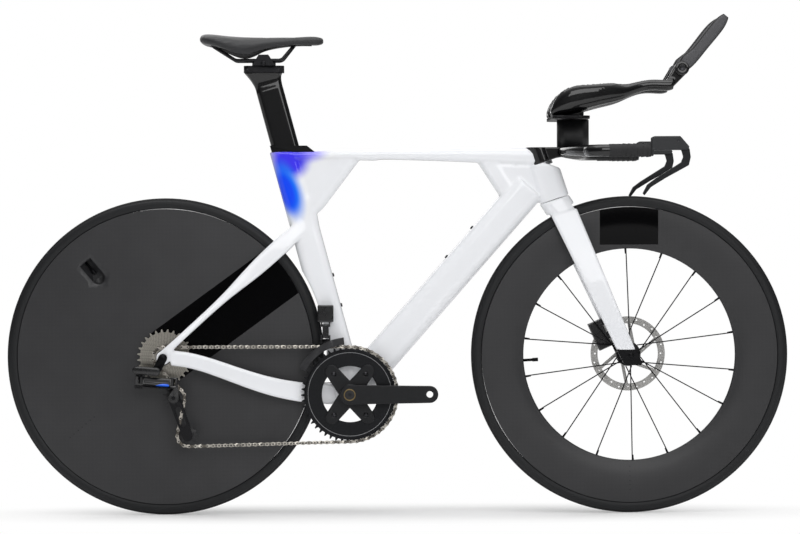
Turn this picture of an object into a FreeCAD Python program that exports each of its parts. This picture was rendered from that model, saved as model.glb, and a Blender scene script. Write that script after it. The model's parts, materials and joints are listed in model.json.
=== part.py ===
import FreeCAD, Part
import math
import os
import re

import Sketcher
from FreeCAD import Placement, Rotation, Vector

# A time trial bicycle with disc brakes, a rear disc wheel, a deep front wheel and a base bar with
# forearm extensions. +X points forward, +Y to the rider's left and +Z up. The origin lies on the
# ground midway between the axles. Lengths are millimetres and angles are degrees.

SIZES = {
    # Layout of the bicycle
    "wheelbase": 993,
    "chainstay_length": 403,
    "bottom_bracket_drop": 80.5,
    "head_angle": 72,
    "fork_rake": 47,
    "crown_height": 365,
    "head_tube_length": 83,
    "seat_angle": 75,
    "overrun": 5,
    "running_gap": 0.05,
    "body_gap": 0.3,
    # Tyres and wheels
    "tyre_radius": 339,
    "tyre_width": 28,
    "tyre_wall": 2.6,
    "tyre_clearance": 6,
    "rim_radius": 316,
    "rim_width": 28.4,
    "front_rim_depth": 89.5,
    "disc_hub_width": 41,
    "disc_edge_width": 27,
    "valve_radius": 3,
    "valve_length": 34,
    "valve_cap_radius": 4,
    "valve_cap_length": 12,
    "valve_pocket_width": 29,
    "valve_pocket_length": 44,
    "valve_pocket_depth": 11,
    "spoke_width": 2.4,
    "spoke_thickness": 1.1,
    "spoke_cross_radius": 40,
    "spoke_offset": 1.6,
    # Hubs and axles
    "axle_radius": 6,
    "axle_head_radius": 9,
    "axle_head_length": 4,
    "front_hub_width": 100,
    "rear_hub_width": 142,
    "hub_cap_radius": 11,
    "hub_barrel_radius": 13,
    "left_flange_radius": 26,
    "right_flange_radius": 22,
    "flange_thickness": 5,
    "left_flange_place": 20,
    "right_flange_place": 33,
    "rear_core_radius": 32,
    "rear_core_right": 22,
    "rear_neck_radius": 17,
    "rotor_radius": 80,
    "rotor_track": 15,
    "rotor_thickness": 1.8,
    "rotor_bore": 17,
    "rotor_shoulder": 2,
    "rotor_carrier_radius": 27,
    "rotor_arm_width": 7,
    "front_rotor_inset": 10.5,
    "rear_rotor_inset": 15.8,
    "lockring_radius": 21,
    "lockring_length": 3,
    # Front triangle
    "bottom_shell_radius": 27,
    "bottom_shell_width": 86,
    "bottom_cup_radius": 20.5,
    "bottom_cup_length": 12,
    "bottom_cup_lip": 1.5,
    "seat_tube_depth": 61,
    "seat_tube_width": 42,
    "seat_tube_foot_width": 56,
    "seat_tube_top": 776,
    "top_tube_front_top": 783,
    "top_tube_width": 42,
    "top_tube_rear_depth": 17,
    "top_tube_middle_depth": 19,
    "top_tube_front_depth": 42,
    "down_tube_depth": 71,
    "down_tube_width": 50,
    "down_tube_foot_width": 60,
    "down_tube_join": 68,
    "head_tube_nose": 31,
    "head_tube_back": 34,
    "head_tube_width": 52,
    "head_tube_clearance": 2,
    "seat_gusset_length": 128,
    "seat_gusset_drop": 120,
    "head_gusset_length": 133,
    "head_gusset_drop": 62,
    "gusset_depth": 44,
    "gusset_width": 36,
    # Rear stays
    "dropout_thickness": 12,
    "dropout_radius": 15,
    "chainstay_root_height": 43,
    "chainstay_tip_height": 33,
    "chainstay_root_offset": 27,
    "seatstay_root_depth": 36,
    "seatstay_waist_depth": 15,
    "seatstay_root_offset": 15,
    "seatstay_join_height": 620,
    # Fork, headset and steerer
    "steerer_radius": 14.3,
    "crown_race_radius": 17,
    "bearing_height": 7,
    "lower_bearing_radius": 23,
    "upper_bearing_radius": 20,
    "crown_depth": 46,
    "crown_width": 66,
    "fork_blade_top_depth": 57,
    "fork_blade_tip_depth": 40,
    "fork_blade_thickness": 13,
    "fork_tip_rise": 12,
    "fork_tip_drop": 21,
    # Seatpost and saddle
    "seatpost_forward": 5,
    "seatpost_depth": 58,
    "seatpost_width": 24,
    "seatpost_insert": 90,
    "seatpost_neck_height": 909,
    "seatpost_top": 945,
    "seatpost_head_length": 86,
    "seatpost_head_width": 36,
    "seatpost_head_back": 40,
    "clamp_cover_length": 92,
    "clamp_cover_height": 13,
    "clamp_cover_width": 38,
    "head_plate_height": 15,
    "cradle_length": 49,
    "cradle_height": 14,
    "cradle_top_height": 9,
    "clamp_bolt_radius": 3.5,
    "rail_radius": 3.5,
    "rail_spacing": 44,
    "rail_bend": 14,
    "saddle_length": 265,
    "saddle_width": 136,
    "saddle_nose_back": 154,
    "saddle_top": 1029,
    "saddle_depth": 51,
    "saddle_shell_thickness": 6,
    "saddle_skirt": 9,
    # Crankset
    "crank_length": 170,
    "crank_root_radius": 20.5,
    "crank_tip_radius": 18,
    "crank_thickness": 14,
    "crank_inner_place": 60,
    "spindle_radius": 12,
    "pedal_hole_radius": 7.14,
    "spider_thickness": 3.4,
    "spider_reach": 62,
    "spider_arm_width": 29,
    "spider_angle": 52,
    "ring_bolt_circle": 110,
    "ring_bolt_radius": 4.5,
    "large_ring_teeth": 50,
    "small_ring_teeth": 34,
    "large_ring_place": 48,
    "small_ring_place": 41,
    "ring_thickness": 3,
    "large_ring_wall": 40,
    "small_ring_wall": 9,
    # Chain and sprockets
    "chain_pitch": 12.7,
    "roller_radius": 3.8,
    "roller_width": 2.3,
    "link_plate": 0.7,
    "link_plate_gap": 0.2,
    "link_height": 8,
    "tooth_thickness": 1.8,
    "tooth_height": 2.6,
    "tooth_tip": 2,
    "tooth_root_gap": 0.15,
    "tooth_root_flat": 5.8,
    "cassette_pitch": 3.74,
    "sprocket_thickness": 1.6,
    "small_cog_place": 63.5,
    "freehub_radius": 16.4,
    "cassette_lockring_length": 2.5,
    # Rear derailleur
    "hanger_back": 14,
    "hanger_drop": 28,
    "hanger_thickness": 6,
    "hanger_radius": 9,
    "mount_bolt_length": 15,
    "link_length": 66,
    "link_spacing": 13,
    "link_width": 8,
    "link_depth": 16,
    "link_pin_radius": 2,
    "knuckle_wall": 3,
    "knuckle_radius": 7,
    "knuckle_web": 5,
    "guide_back": 22,
    "guide_drop": 85,
    "cage_length": 86,
    "cage_plate": 1.6,
    "cage_gap": 9.6,
    "cage_radius": 13,
    "cage_boss_radius": 11,
    "pulley_teeth": 11,
    "pulley_bolt_radius": 3,
    # Front derailleur
    "motor_length": 34,
    "motor_height": 36,
    "motor_width": 27,
    "motor_rise": 172,
    "motor_back": 51,
    "shift_arm_length": 25,
    "shift_arm_place": 46,
    "cage_guide_height": 15,
    "cage_guide_gap": 13,
    "cage_guide_plate": 1.4,
    "cage_guide_clearance": 3,
    # Brakes
    "caliper_length": 62,
    "caliper_height": 30,
    "caliper_width": 30,
    "caliper_slot": 5.4,
    "pad_length": 24,
    "pad_height": 15,
    "pad_gap": 0.3,
    # Stem and base bar
    "stem_radius": 24.4,
    "stem_height": 41,
    "stem_reach": 52,
    "wing_chord": 56,
    "wing_thickness": 19,
    "bar_width": 390,
    "bar_radius": 12.5,
    "bar_reach": 216,
    "bar_drop": 2.5,
    "bar_bend": 30,
    "tape_length": 60,
    "tape_thickness": 2.2,
    "tape_band_length": 27,
    "lever_body_length": 79,
    "lever_body_height": 29,
    "lever_body_width": 24,
    "lever_pivot_radius": 2.5,
    "lever_width": 9,
    "lever_reach": 122,
    # Forearm rests
    "riser_length": 68,
    "riser_width": 46,
    "riser_height": 58,
    "riser_split": 24,
    "bridge_length": 82,
    "bridge_width": 236,
    "bridge_thickness": 6,
    "rest_spacing": 144,
    "rest_length": 260,
    "rest_width": 92,
    "rest_height": 77,
    "rest_wall": 5,
    "pad_thickness": 10,
    "grip_length": 145,
    "grip_depth": 34,
    "grip_width": 26,
    "grip_angle": 51,
    "grip_pivot_radius": 15,
    "grip_lug_thickness": 8,
    "grip_pin_radius": 4,
    # Small fittings
    "bottle_bolt_radius": 4,
    "bottle_bolt_height": 3,
}

doc = FreeCAD.newDocument("TimeTrialBicycle")
sheet = doc.addObject("Spreadsheet::Sheet", "Sizes")
for row, (alias, value) in enumerate(SIZES.items(), start=1):
    sheet.set(f"A{row}", alias)
    sheet.set(f"B{row}", str(value))
    sheet.setAlias(f"B{row}", alias)
doc.recompute()


class SheetReader:
    """Gives a driving dimension of the sheet by its alias."""

    def __getattr__(self, alias):
        return float(sheet.get(alias))


dim = SheetReader()
SUBPARTS = []
ACROSS = Vector(0, 1, 0)
UP = Vector(0, 0, 1)
AXIS_TO_Y = Rotation(Vector(1, 0, 0), -90)


# Building blocks

def bound(text):
    """Turns a sum of alias names into an expression of the sheet."""
    return re.sub(r"[a-z]\w*",
                  lambda word: "Sizes." + word.group() if word.group() in SIZES else word.group(), text)


def keep(label, shape):
    """Stores a finished shape as a named sub-part."""
    feature = doc.addObject("Part::Feature", label)
    feature.Label = label
    feature.Shape = shape
    SUBPARTS.append(feature)
    return shape


def hold_corner(sketch, corner, kind, text):
    """A dimension from the sketch's origin to one corner, or a place on the axis where it is zero."""
    value = float(sketch.evalExpression(bound(text)))
    if value == 0:
        axis = -2 if kind == "DistanceX" else -1
        return Sketcher.Constraint("PointOnObject", corner, 1, axis), None
    if value > 0:
        return Sketcher.Constraint(kind, -1, 1, corner, 1, value), bound(text)
    return Sketcher.Constraint(kind, corner, 1, -1, 1, -value), f"-({bound(text)})"


def outline_sketch(body, name, plane_role, corners):
    """A closed outline of straight edges whose corners are all held by the sheet."""
    sketch = body.newObject("Sketcher::SketchObject", name)
    plane = [item for item in body.Origin.OriginFeatures if item.Role == plane_role][0]
    sketch.AttachmentSupport = (plane, [""])
    sketch.MapMode = "FlatFace"
    places = [Vector(*(float(sketch.evalExpression(bound(text))) for text in corner),
                     0) for corner in corners]
    count = len(places)
    sketch.addGeometry([Part.LineSegment(places[i], places[(i + 1) % count]) for i in range(count)],
                       False)
    constraints = [Sketcher.Constraint("Coincident", i, 2, (i + 1) % count, 1) for i in range(count)]
    expressions = []
    for i, corner in enumerate(corners):
        for kind, text in zip(("DistanceX", "DistanceY"), corner):
            constraint, expression = hold_corner(sketch, i, kind, text)
            if expression:
                expressions.append((len(constraints), expression))
            constraints.append(constraint)
    sketch.addConstraint(constraints)
    for index, expression in expressions:
        sketch.setExpression(f"Constraints[{index}]", expression)
    return sketch


def turned(label, corners, x="0", z="0"):
    """A piece turned about an axis across the bicycle: corners are (radius, place along +Y)."""
    body = doc.addObject("PartDesign::Body", label)
    body.Label = label
    sketch = outline_sketch(body, label + "_outline", "XY_Plane", corners)
    turn = body.newObject("PartDesign::Revolution", label + "_turn")
    turn.Profile = sketch
    turn.ReferenceAxis = (sketch, ["V_Axis"])
    turn.Angle = 360
    body.setExpression("Placement.Base.x", bound(x))
    body.setExpression("Placement.Base.z", bound(z))
    return body


def rod(centre, axis, radius, start, end):
    """A cylinder about a point, from one place along its axis to another."""
    return Part.makeCylinder(radius, end - start, centre + axis * start, axis)


def rounded_wire(centre, along, across, length, width, round_share):
    """A rectangle with rounded corners, its corner radius a share of the shorter side."""
    radius = round_share * min(length, width)
    arcs = []
    for sign_a, sign_b in ((1, 1), (-1, 1), (-1, -1), (1, -1)):
        hub = centre + along * (sign_a * (length / 2 - radius)) + across * (sign_b * (width / 2 - radius))
        first = hub + along * (sign_a * radius)
        last = hub + across * (sign_b * radius)
        middle = hub + (along * sign_a + across * sign_b) * (radius / math.sqrt(2))
        if sign_a * sign_b < 0:
            first, last = last, first
        arcs.append((first, middle, last))
    edges = []
    for i, (first, middle, last) in enumerate(arcs):
        edges.append(Part.Arc(first, middle, last).toShape())
        edges.append(Part.LineSegment(last, arcs[(i + 1) % len(arcs)][0]).toShape())
    return Part.Wire(edges)


def section(low, high, width, y=0, round_share=0.42):
    """A tube's section between two points of its side outline, as wide as given across the bicycle."""
    along = high - low
    centre = (low + high) / 2 + ACROSS * y
    return rounded_wire(centre, along / along.Length, ACROSS, along.Length, width, round_share)


def loft(wires):
    return Part.makeLoft(wires, True, False)


def fused(shapes):
    return shapes[0].multiFuse(shapes[1:])


def mirrored(shape):
    return shape.mirror(Vector(0, 0, 0), ACROSS)


def flat_outline(points, y, thickness):
    """A plate between y and y + thickness, cut to side-view points and ("arc", middle, end) rows."""
    edges = []
    last = points[0]
    for item in points[1:] + [points[0]]:
        if isinstance(item, tuple):
            edges.append(Part.Arc(last, item[1], item[2]).toShape())
            last = item[2]
        elif (item - last).Length > 0:
            edges.append(Part.LineSegment(last, item).toShape())
            last = item
    face = Part.Face(Part.Wire(edges))
    face.translate(ACROSS * y)
    return face.extrude(ACROSS * thickness)


def rounded_bar(first, second, first_radius, second_radius, y, thickness):
    """A plate round two centres in the side view, with straight sides tangent to both ends."""
    along = second - first
    length = along.Length
    along = along / length
    side = Vector(-along.z, 0, along.x)
    lean = (first_radius - second_radius) / length
    rise = math.sqrt(1 - lean * lean)
    upper = along * lean + side * rise
    lower = along * lean - side * rise
    points = [
        first + upper * first_radius,
        second + upper * second_radius,
        ("arc", second + along * second_radius, second + lower * second_radius),
        first + lower * first_radius,
        ("arc", first - along * first_radius, first + upper * first_radius),
    ]
    return flat_outline(points, y, thickness)


# Layout points, all in the central plane

rear_axle = Vector(-dim.wheelbase / 2, 0, dim.tyre_radius)
front_axle = Vector(dim.wheelbase / 2, 0, dim.tyre_radius)
stay_run = math.sqrt(dim.chainstay_length ** 2 - dim.bottom_bracket_drop ** 2)
crank_axis = rear_axle + Vector(stay_run, 0, -dim.bottom_bracket_drop)
head_tilt = math.radians(dim.head_angle)
steer_up = Vector(-math.cos(head_tilt), 0, math.sin(head_tilt))
steer_out = Vector(math.sin(head_tilt), 0, math.cos(head_tilt))
crown_seat = front_axle - steer_out * dim.fork_rake + steer_up * dim.crown_height
head_top = crown_seat + steer_up * dim.head_tube_length
seat_tilt = math.radians(dim.seat_angle)
seat_up = Vector(-math.cos(seat_tilt), 0, math.sin(seat_tilt))
seat_out = Vector(math.sin(seat_tilt), 0, math.cos(seat_tilt))
REAR_X = "-wheelbase / 2"
FRONT_X = "wheelbase / 2"
AXLE_Z = "tyre_radius"


def on_seat_line(height):
    """The point of the seat tube's centre line at a height above the ground."""
    return crank_axis + seat_up * ((height - crank_axis.z) / seat_up.z)


def on_steer_axis(rise, forward=0):
    """A point above the crown seat along the steering axis, and in front of it."""
    return crown_seat + steer_up * rise + steer_out * forward


# Tyres: hollow casings whose beads stand on the rim

def tyre(label, axle_x):
    casing = doc.addObject("Part::Torus", label + "_casing")
    casing.setExpression("Radius1", bound("tyre_radius - tyre_width / 2"))
    casing.setExpression("Radius2", bound("tyre_width / 2"))
    air = doc.addObject("Part::Torus", label + "_air")
    air.setExpression("Radius1", bound("tyre_radius - tyre_width / 2"))
    air.setExpression("Radius2", bound("tyre_width / 2 - tyre_wall"))
    seat = doc.addObject("Part::Cylinder", label + "_seat")
    seat.setExpression("Radius", bound("rim_radius"))
    seat.setExpression("Height", bound("tyre_width"))
    seat.setExpression("Placement.Base.z", bound("-tyre_width / 2"))
    hollow = doc.addObject("Part::Cut", label + "_hollow")
    hollow.Base = casing
    hollow.Tool = air
    ring = doc.addObject("Part::Cut", label)
    ring.Label = label
    ring.Base = hollow
    ring.Tool = seat
    ring.Placement = Placement(Vector(0, 0, 0), AXIS_TO_Y)
    ring.setExpression("Placement.Base.x", bound(axle_x))
    ring.setExpression("Placement.Base.z", bound(AXLE_Z))
    SUBPARTS.append(ring)


tyre("front_tyre", FRONT_X)
tyre("rear_tyre", REAR_X)


# Deep front rim: a wing-shaped section turned about the axle

def turned_about(axle, points):
    """Turns an outline of (radius, y) points about an axle; ("arc", middle, end) stands for an arc."""
    def place(pair):
        return axle + Vector(pair[0], pair[1], 0)
    edges = []
    last = place(points[0])
    for item in points[1:] + [points[0]]:
        if item[0] == "arc":
            edges.append(Part.Arc(last, place(item[1]), place(item[2])).toShape())
            last = place(item[2])
        elif (place(item) - last).Length > 0:
            edges.append(Part.LineSegment(last, place(item)).toShape())
            last = place(item)
    return Part.Face(Part.Wire(edges)).revolve(axle, ACROSS, 360)


RIM_DEPTH_SHARES = (0, 0.32, 0.64, 0.83, 0.96, 1)
RIM_WIDTH_SHARES = (0.475, 0.5, 0.41, 0.29, 0.15, 0)
rim_side = [
    (dim.rim_radius - dim.front_rim_depth * down, dim.rim_width * out)
    for down, out in zip(RIM_DEPTH_SHARES, RIM_WIDTH_SHARES)
]
rim_back = [(radius, -y) for radius, y in rim_side]
front_rim = turned_about(front_axle, [
    rim_back[0],
    rim_side[0],
    ("arc", rim_side[1], rim_side[2]),
    ("arc", rim_side[3], rim_side[4]),
    ("arc", rim_side[5], rim_back[4]),
    ("arc", rim_back[3], rim_back[2]),
    ("arc", rim_back[1], rim_back[0]),
])

# Front hub with a flange for each side's spokes and a seat for the rotor
front_hub = turned("front_hub", [
    ("axle_radius + running_gap", "-(front_hub_width / 2 - body_gap)"),
    ("hub_cap_radius", "-(front_hub_width / 2 - body_gap)"),
    ("hub_cap_radius", "-(right_flange_place + flange_thickness)"),
    ("right_flange_radius", "-(right_flange_place + flange_thickness / 2)"),
    ("right_flange_radius", "-(right_flange_place - flange_thickness / 2)"),
    ("hub_barrel_radius", "-(right_flange_place - flange_thickness)"),
    ("hub_barrel_radius", "left_flange_place - flange_thickness"),
    ("left_flange_radius", "left_flange_place - flange_thickness / 2"),
    ("left_flange_radius", "left_flange_place + flange_thickness / 2"),
    ("rotor_bore + rotor_shoulder", "left_flange_place + flange_thickness"),
    ("rotor_bore + rotor_shoulder", "front_hub_width / 2 - front_rotor_inset - rotor_thickness / 2"),
    ("rotor_bore", "front_hub_width / 2 - front_rotor_inset - rotor_thickness / 2"),
    ("rotor_bore", "front_hub_width / 2 - front_rotor_inset + rotor_thickness / 2"),
    ("hub_cap_radius", "front_hub_width / 2 - front_rotor_inset + rotor_thickness / 2"),
    ("hub_cap_radius", "front_hub_width / 2 - body_gap"),
    ("axle_radius + running_gap", "front_hub_width / 2 - body_gap"),
], FRONT_X, AXLE_Z)
doc.recompute()
SUBPARTS.append(front_hub)

# Spokes in six groups: a radial one on the right flange and a crossed pair on the left flange
SPOKE_GROUPS = 6
RIM_STEP = 20
GROUP_START = 91.5


def polar(centre, radius, angle):
    return centre + Vector(radius * math.cos(angle), 0, radius * math.sin(angle))


def spoke(start, end):
    """A flat spoke whose wide side lies in the wheel's plane, run into both of its seats."""
    along = end - start
    length = along.Length
    along = along / length
    broad = along.cross(ACROSS)
    broad = broad / broad.Length
    thin = along.cross(broad)
    corner = start - broad * (dim.spoke_width / 2) - thin * (dim.spoke_thickness / 2)
    blade = Part.makePolygon([
        corner,
        corner + broad * dim.spoke_width,
        corner + broad * dim.spoke_width + thin * dim.spoke_thickness,
        corner + thin * dim.spoke_thickness,
        corner,
    ])
    return Part.Face(blade).extrude(along * length)


rim_inner = dim.rim_radius - dim.front_rim_depth
spokes = []
for group in range(SPOKE_GROUPS):
    middle = math.radians(GROUP_START + group * 360 / SPOKE_GROUPS)
    right_seat = polar(front_axle, dim.right_flange_radius - dim.spoke_width,
                       middle) - ACROSS * dim.right_flange_place
    spokes.append(spoke(right_seat, polar(front_axle, rim_inner + dim.overrun, middle)))
    for side in (1, -1):
        rim_angle = middle + side * math.radians(RIM_STEP)
        rim_point = polar(front_axle, rim_inner + dim.overrun, rim_angle)
        crossing = polar(front_axle, dim.spoke_cross_radius, middle)
        inward = crossing - rim_point
        flange_reach = dim.left_flange_radius * math.cos(math.radians(RIM_STEP))
        reach = inward.Length + dim.spoke_cross_radius - flange_reach
        hub_point = rim_point + inward * (reach / inward.Length)
        spokes.append(spoke(hub_point + ACROSS * (dim.left_flange_place + side * dim.spoke_offset),
                            rim_point))
front_spokes = Part.makeCompound([item.cut(front_hub.Shape).cut(front_rim) for item in spokes])
keep("front_spokes", front_spokes)

# Front valve: a stem and cap standing inside the rim behind the fork
VALVE_ANGLE = 183


def valve(axle, seat_radius, angle):
    inward = Vector(-math.cos(angle), 0, -math.sin(angle))
    seat = polar(axle, seat_radius, angle)
    stem = rod(seat, inward, dim.valve_radius, 0, dim.valve_length - dim.valve_cap_length)
    cap = rod(seat, inward, dim.valve_cap_radius, dim.valve_length - dim.valve_cap_length,
              dim.valve_length)
    return stem.fuse(cap)


front_valve = valve(front_axle, rim_inner + dim.valve_radius, math.radians(VALVE_ANGLE))
keep("front_valve", front_valve)
keep("front_rim", front_rim.cut(front_valve))

# Rear disc: a lens-shaped shell with a pocket for the valve on the drive side
half_edge = dim.disc_edge_width / 2
half_hub = dim.disc_hub_width / 2
DISC_BULGE_SHARE = 0.72
bulge = half_edge + (half_hub - half_edge) * DISC_BULGE_SHARE
disc_middle = (dim.rim_radius + dim.rear_core_radius) / 2
rear_disc = turned_about(rear_axle, [
    (dim.rim_radius, -half_edge),
    (dim.rim_radius, half_edge),
    ("arc", (disc_middle, bulge), (dim.rear_core_radius, half_hub)),
    (dim.rear_core_radius, -half_hub),
    ("arc", (disc_middle, -bulge), (dim.rim_radius, -half_edge)),
])
POCKET_ANGLE = 130
POCKET_PLACE_SHARE = 0.84
pocket_angle = math.radians(POCKET_ANGLE)
pocket_outer = polar(rear_axle, dim.rim_radius * POCKET_PLACE_SHARE, pocket_angle)
pocket_inner = polar(rear_axle, dim.rim_radius * POCKET_PLACE_SHARE - dim.valve_pocket_length,
                     pocket_angle)
pocket_across = Vector(-math.sin(pocket_angle), 0,
                       math.cos(pocket_angle)) * (dim.valve_pocket_width / 2)
pocket_round = dim.valve_pocket_width / 2 / dim.valve_pocket_length
pocket_end = pocket_inner + (pocket_inner - pocket_outer) * pocket_round
pocket = flat_outline([
    pocket_outer + pocket_across,
    pocket_outer - pocket_across,
    pocket_inner - pocket_across,
    ("arc", pocket_end, pocket_inner + pocket_across),
], -half_hub, half_hub - half_edge + dim.valve_pocket_depth)
rear_valve = valve(rear_axle, dim.rim_radius * POCKET_PLACE_SHARE, pocket_angle)
rear_valve.translate(ACROSS * (dim.valve_cap_radius + dim.overrun / 2 - half_edge))
keep("rear_valve", rear_valve)
keep("rear_disc", rear_disc.cut(pocket))

# Rear hub: the core inside the disc and a neck with the rotor's seat
rear_hub = turned("rear_hub", [
    ("axle_radius + running_gap", "-rear_core_right"),
    ("rear_core_radius", "-rear_core_right"),
    ("rear_core_radius", "disc_hub_width / 2 + body_gap"),
    ("rear_neck_radius + rotor_shoulder", "disc_hub_width / 2 + flange_thickness"),
    ("rear_neck_radius + rotor_shoulder",
     "rear_hub_width / 2 - rear_rotor_inset - rotor_thickness / 2"),
    ("rotor_bore", "rear_hub_width / 2 - rear_rotor_inset - rotor_thickness / 2"),
    ("rotor_bore", "rear_hub_width / 2 - rear_rotor_inset + rotor_thickness / 2"),
    ("hub_cap_radius", "rear_hub_width / 2 - rear_rotor_inset + rotor_thickness / 2"),
    ("hub_cap_radius", "rear_hub_width / 2 - body_gap"),
    ("axle_radius + running_gap", "rear_hub_width / 2 - body_gap"),
], REAR_X, AXLE_Z)
SUBPARTS.append(rear_hub)


# Brake rotors: a steel track on six swept arms, held by a lockring
ROTOR_ARMS = 6
ROTOR_SWEEP = 28
ROTOR_VENTS = 24
VENT_SHARE = 0.24


def rotor(label, axle, place):
    """A rotor and its lockring, about an axle, with its middle at a place along +Y."""
    y = place - dim.rotor_thickness / 2
    track_inner = dim.rotor_radius - dim.rotor_track
    base = axle + ACROSS * y
    track = rod(base, ACROSS, dim.rotor_radius, 0, dim.rotor_thickness)
    track = track.cut(rod(base, ACROSS, track_inner, 0, dim.rotor_thickness))
    vents = []
    for vent in range(ROTOR_VENTS):
        angle = 2 * math.pi * vent / ROTOR_VENTS
        swing = 1 if vent % 2 else -1
        centre = polar(base, track_inner + dim.rotor_track * (1 + swing * VENT_SHARE) / 2, angle)
        vents.append(rod(centre, ACROSS, dim.rotor_track * VENT_SHARE / 2, 0, dim.rotor_thickness))
    track = track.cut(Part.makeCompound(vents))
    pieces = [track, rod(base, ACROSS, dim.rotor_carrier_radius, 0, dim.rotor_thickness)]
    for arm in range(ROTOR_ARMS):
        angle = 2 * math.pi * arm / ROTOR_ARMS
        inner = polar(axle, dim.rotor_carrier_radius - dim.rotor_arm_width / 2, angle)
        outer = polar(axle, track_inner + dim.rotor_arm_width / 2, angle + math.radians(ROTOR_SWEEP))
        pieces.append(rounded_bar(inner, outer, dim.rotor_arm_width / 2, dim.rotor_arm_width / 2, y,
                                  dim.rotor_thickness))
    plate = fused(pieces).cut(rod(base, ACROSS, dim.rotor_bore, 0, dim.rotor_thickness))
    ring_base = base + ACROSS * dim.rotor_thickness
    ring = rod(ring_base, ACROSS, dim.lockring_radius, 0, dim.lockring_length)
    ring = ring.cut(rod(ring_base, ACROSS, dim.hub_cap_radius, 0, dim.lockring_length))
    keep(label, Part.makeCompound([plate, ring]))


front_rotor_place = dim.front_hub_width / 2 - dim.front_rotor_inset
rear_rotor_place = dim.rear_hub_width / 2 - dim.rear_rotor_inset
rotor("front_rotor", front_axle, front_rotor_place)
rotor("rear_rotor", rear_axle, rear_rotor_place)

# Thru axles: a plain shaft with a low round head on the left side
front_axle_end = dim.front_hub_width / 2 + dim.fork_blade_thickness
rear_axle_end = dim.rear_hub_width / 2 + dim.dropout_thickness
for label, axle_x, width, wall in (
    ("front_thru_axle", FRONT_X, "front_hub_width", "fork_blade_thickness"),
    ("rear_thru_axle", REAR_X, "rear_hub_width", "dropout_thickness"),
):
    SUBPARTS.append(turned(label, [
        ("0", f"-({width} / 2 + {wall})"),
        ("axle_radius", f"-({width} / 2 + {wall})"),
        ("axle_radius", f"{width} / 2 + {wall}"),
        ("axle_head_radius", f"{width} / 2 + {wall}"),
        ("axle_head_radius", f"{width} / 2 + {wall} + axle_head_length"),
        ("0", f"{width} / 2 + {wall} + axle_head_length"),
    ], axle_x, AXLE_Z))

# Seatpost: a deep blade that flares into a flat head under the saddle


def seatpost_section(height, depth, width, shift=0):
    centre = on_seat_line(height) + seat_out * (dim.seatpost_forward + shift)
    half = seat_out * (depth / 2)
    return section(centre - half, centre + half, width)


NECK_DEPTH_SHARE = 1.09
NECK_HEIGHT_SHARE = 0.55
neck_height = dim.seatpost_neck_height + (dim.seatpost_top - dim.seatpost_neck_height) * NECK_HEIGHT_SHARE
head_back = on_seat_line(dim.seatpost_top) - Vector(dim.seatpost_head_back, 0, 0)
head_front = head_back + Vector(dim.seatpost_head_length, 0, 0)
post_foot = dim.seat_tube_top - dim.seatpost_insert
seatpost = fused([
    loft([
        seatpost_section(post_foot, dim.seatpost_depth, dim.seatpost_width),
        seatpost_section(dim.seatpost_neck_height, dim.seatpost_depth, dim.seatpost_width),
    ]),
    loft([
        seatpost_section(dim.seatpost_neck_height, dim.seatpost_depth, dim.seatpost_width),
        seatpost_section(neck_height, dim.seatpost_depth * NECK_DEPTH_SHARE, dim.seatpost_width),
        section(head_back, head_front, dim.seatpost_head_width),
    ]),
])
keep("seatpost", seatpost)

# Front triangle: a bonded shell of deep tubes with broad gussets

foot = dim.seat_tube_depth / 2
seat_top_point = on_seat_line(dim.seat_tube_top)
seat_tube = loft([
    section(crank_axis - seat_out * foot, crank_axis + seat_out * foot, dim.seat_tube_foot_width),
    section(on_seat_line((crank_axis.z + dim.seat_tube_top) / 2) - seat_out * foot,
            on_seat_line((crank_axis.z + dim.seat_tube_top) / 2) + seat_out * foot, dim.seat_tube_width),
    section(seat_top_point - Vector(foot / seat_out.x, 0, 0),
            seat_top_point + Vector(foot / seat_out.x, 0, 0),
            dim.seat_tube_width),
])
down_head = on_steer_axis(dim.down_tube_join)
down_line = down_head - crank_axis
down_along = down_line / down_line.Length
down_side = Vector(-down_along.z, 0, down_along.x) * (dim.down_tube_depth / 2)
DOWN_END_SHARE = 0.92
down_tube = loft([
    section(crank_axis - down_side, crank_axis + down_side, dim.down_tube_foot_width),
    section(crank_axis + down_line * DOWN_END_SHARE - down_side,
            crank_axis + down_line * DOWN_END_SHARE + down_side,
            dim.down_tube_width),
])

seat_front_x = seat_top_point.x + foot / seat_out.x
stem_back = dim.stem_radius + dim.body_gap
tube_front_x = head_top.x
TOP_MIDDLE_SHARE = 0.33
top_rear = Vector(seat_top_point.x, 0, dim.seat_tube_top)
top_front = Vector(tube_front_x, 0, dim.top_tube_front_top)
top_middle = top_rear + (top_front - top_rear) * TOP_MIDDLE_SHARE
TOP_ROUND_SHARE = 0.36
top_tube = loft([
    section(place - UP * depth, place, dim.top_tube_width, 0, TOP_ROUND_SHARE)
    for place, depth in (
        (top_rear, dim.top_tube_rear_depth),
        (top_middle, dim.top_tube_middle_depth),
        (top_front, dim.top_tube_front_depth),
    )
])
head_tube = loft([
    section(on_steer_axis(rise, -dim.head_tube_back), on_steer_axis(rise, dim.head_tube_nose),
            dim.head_tube_width)
    for rise in (0, dim.head_tube_length)
])

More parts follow.
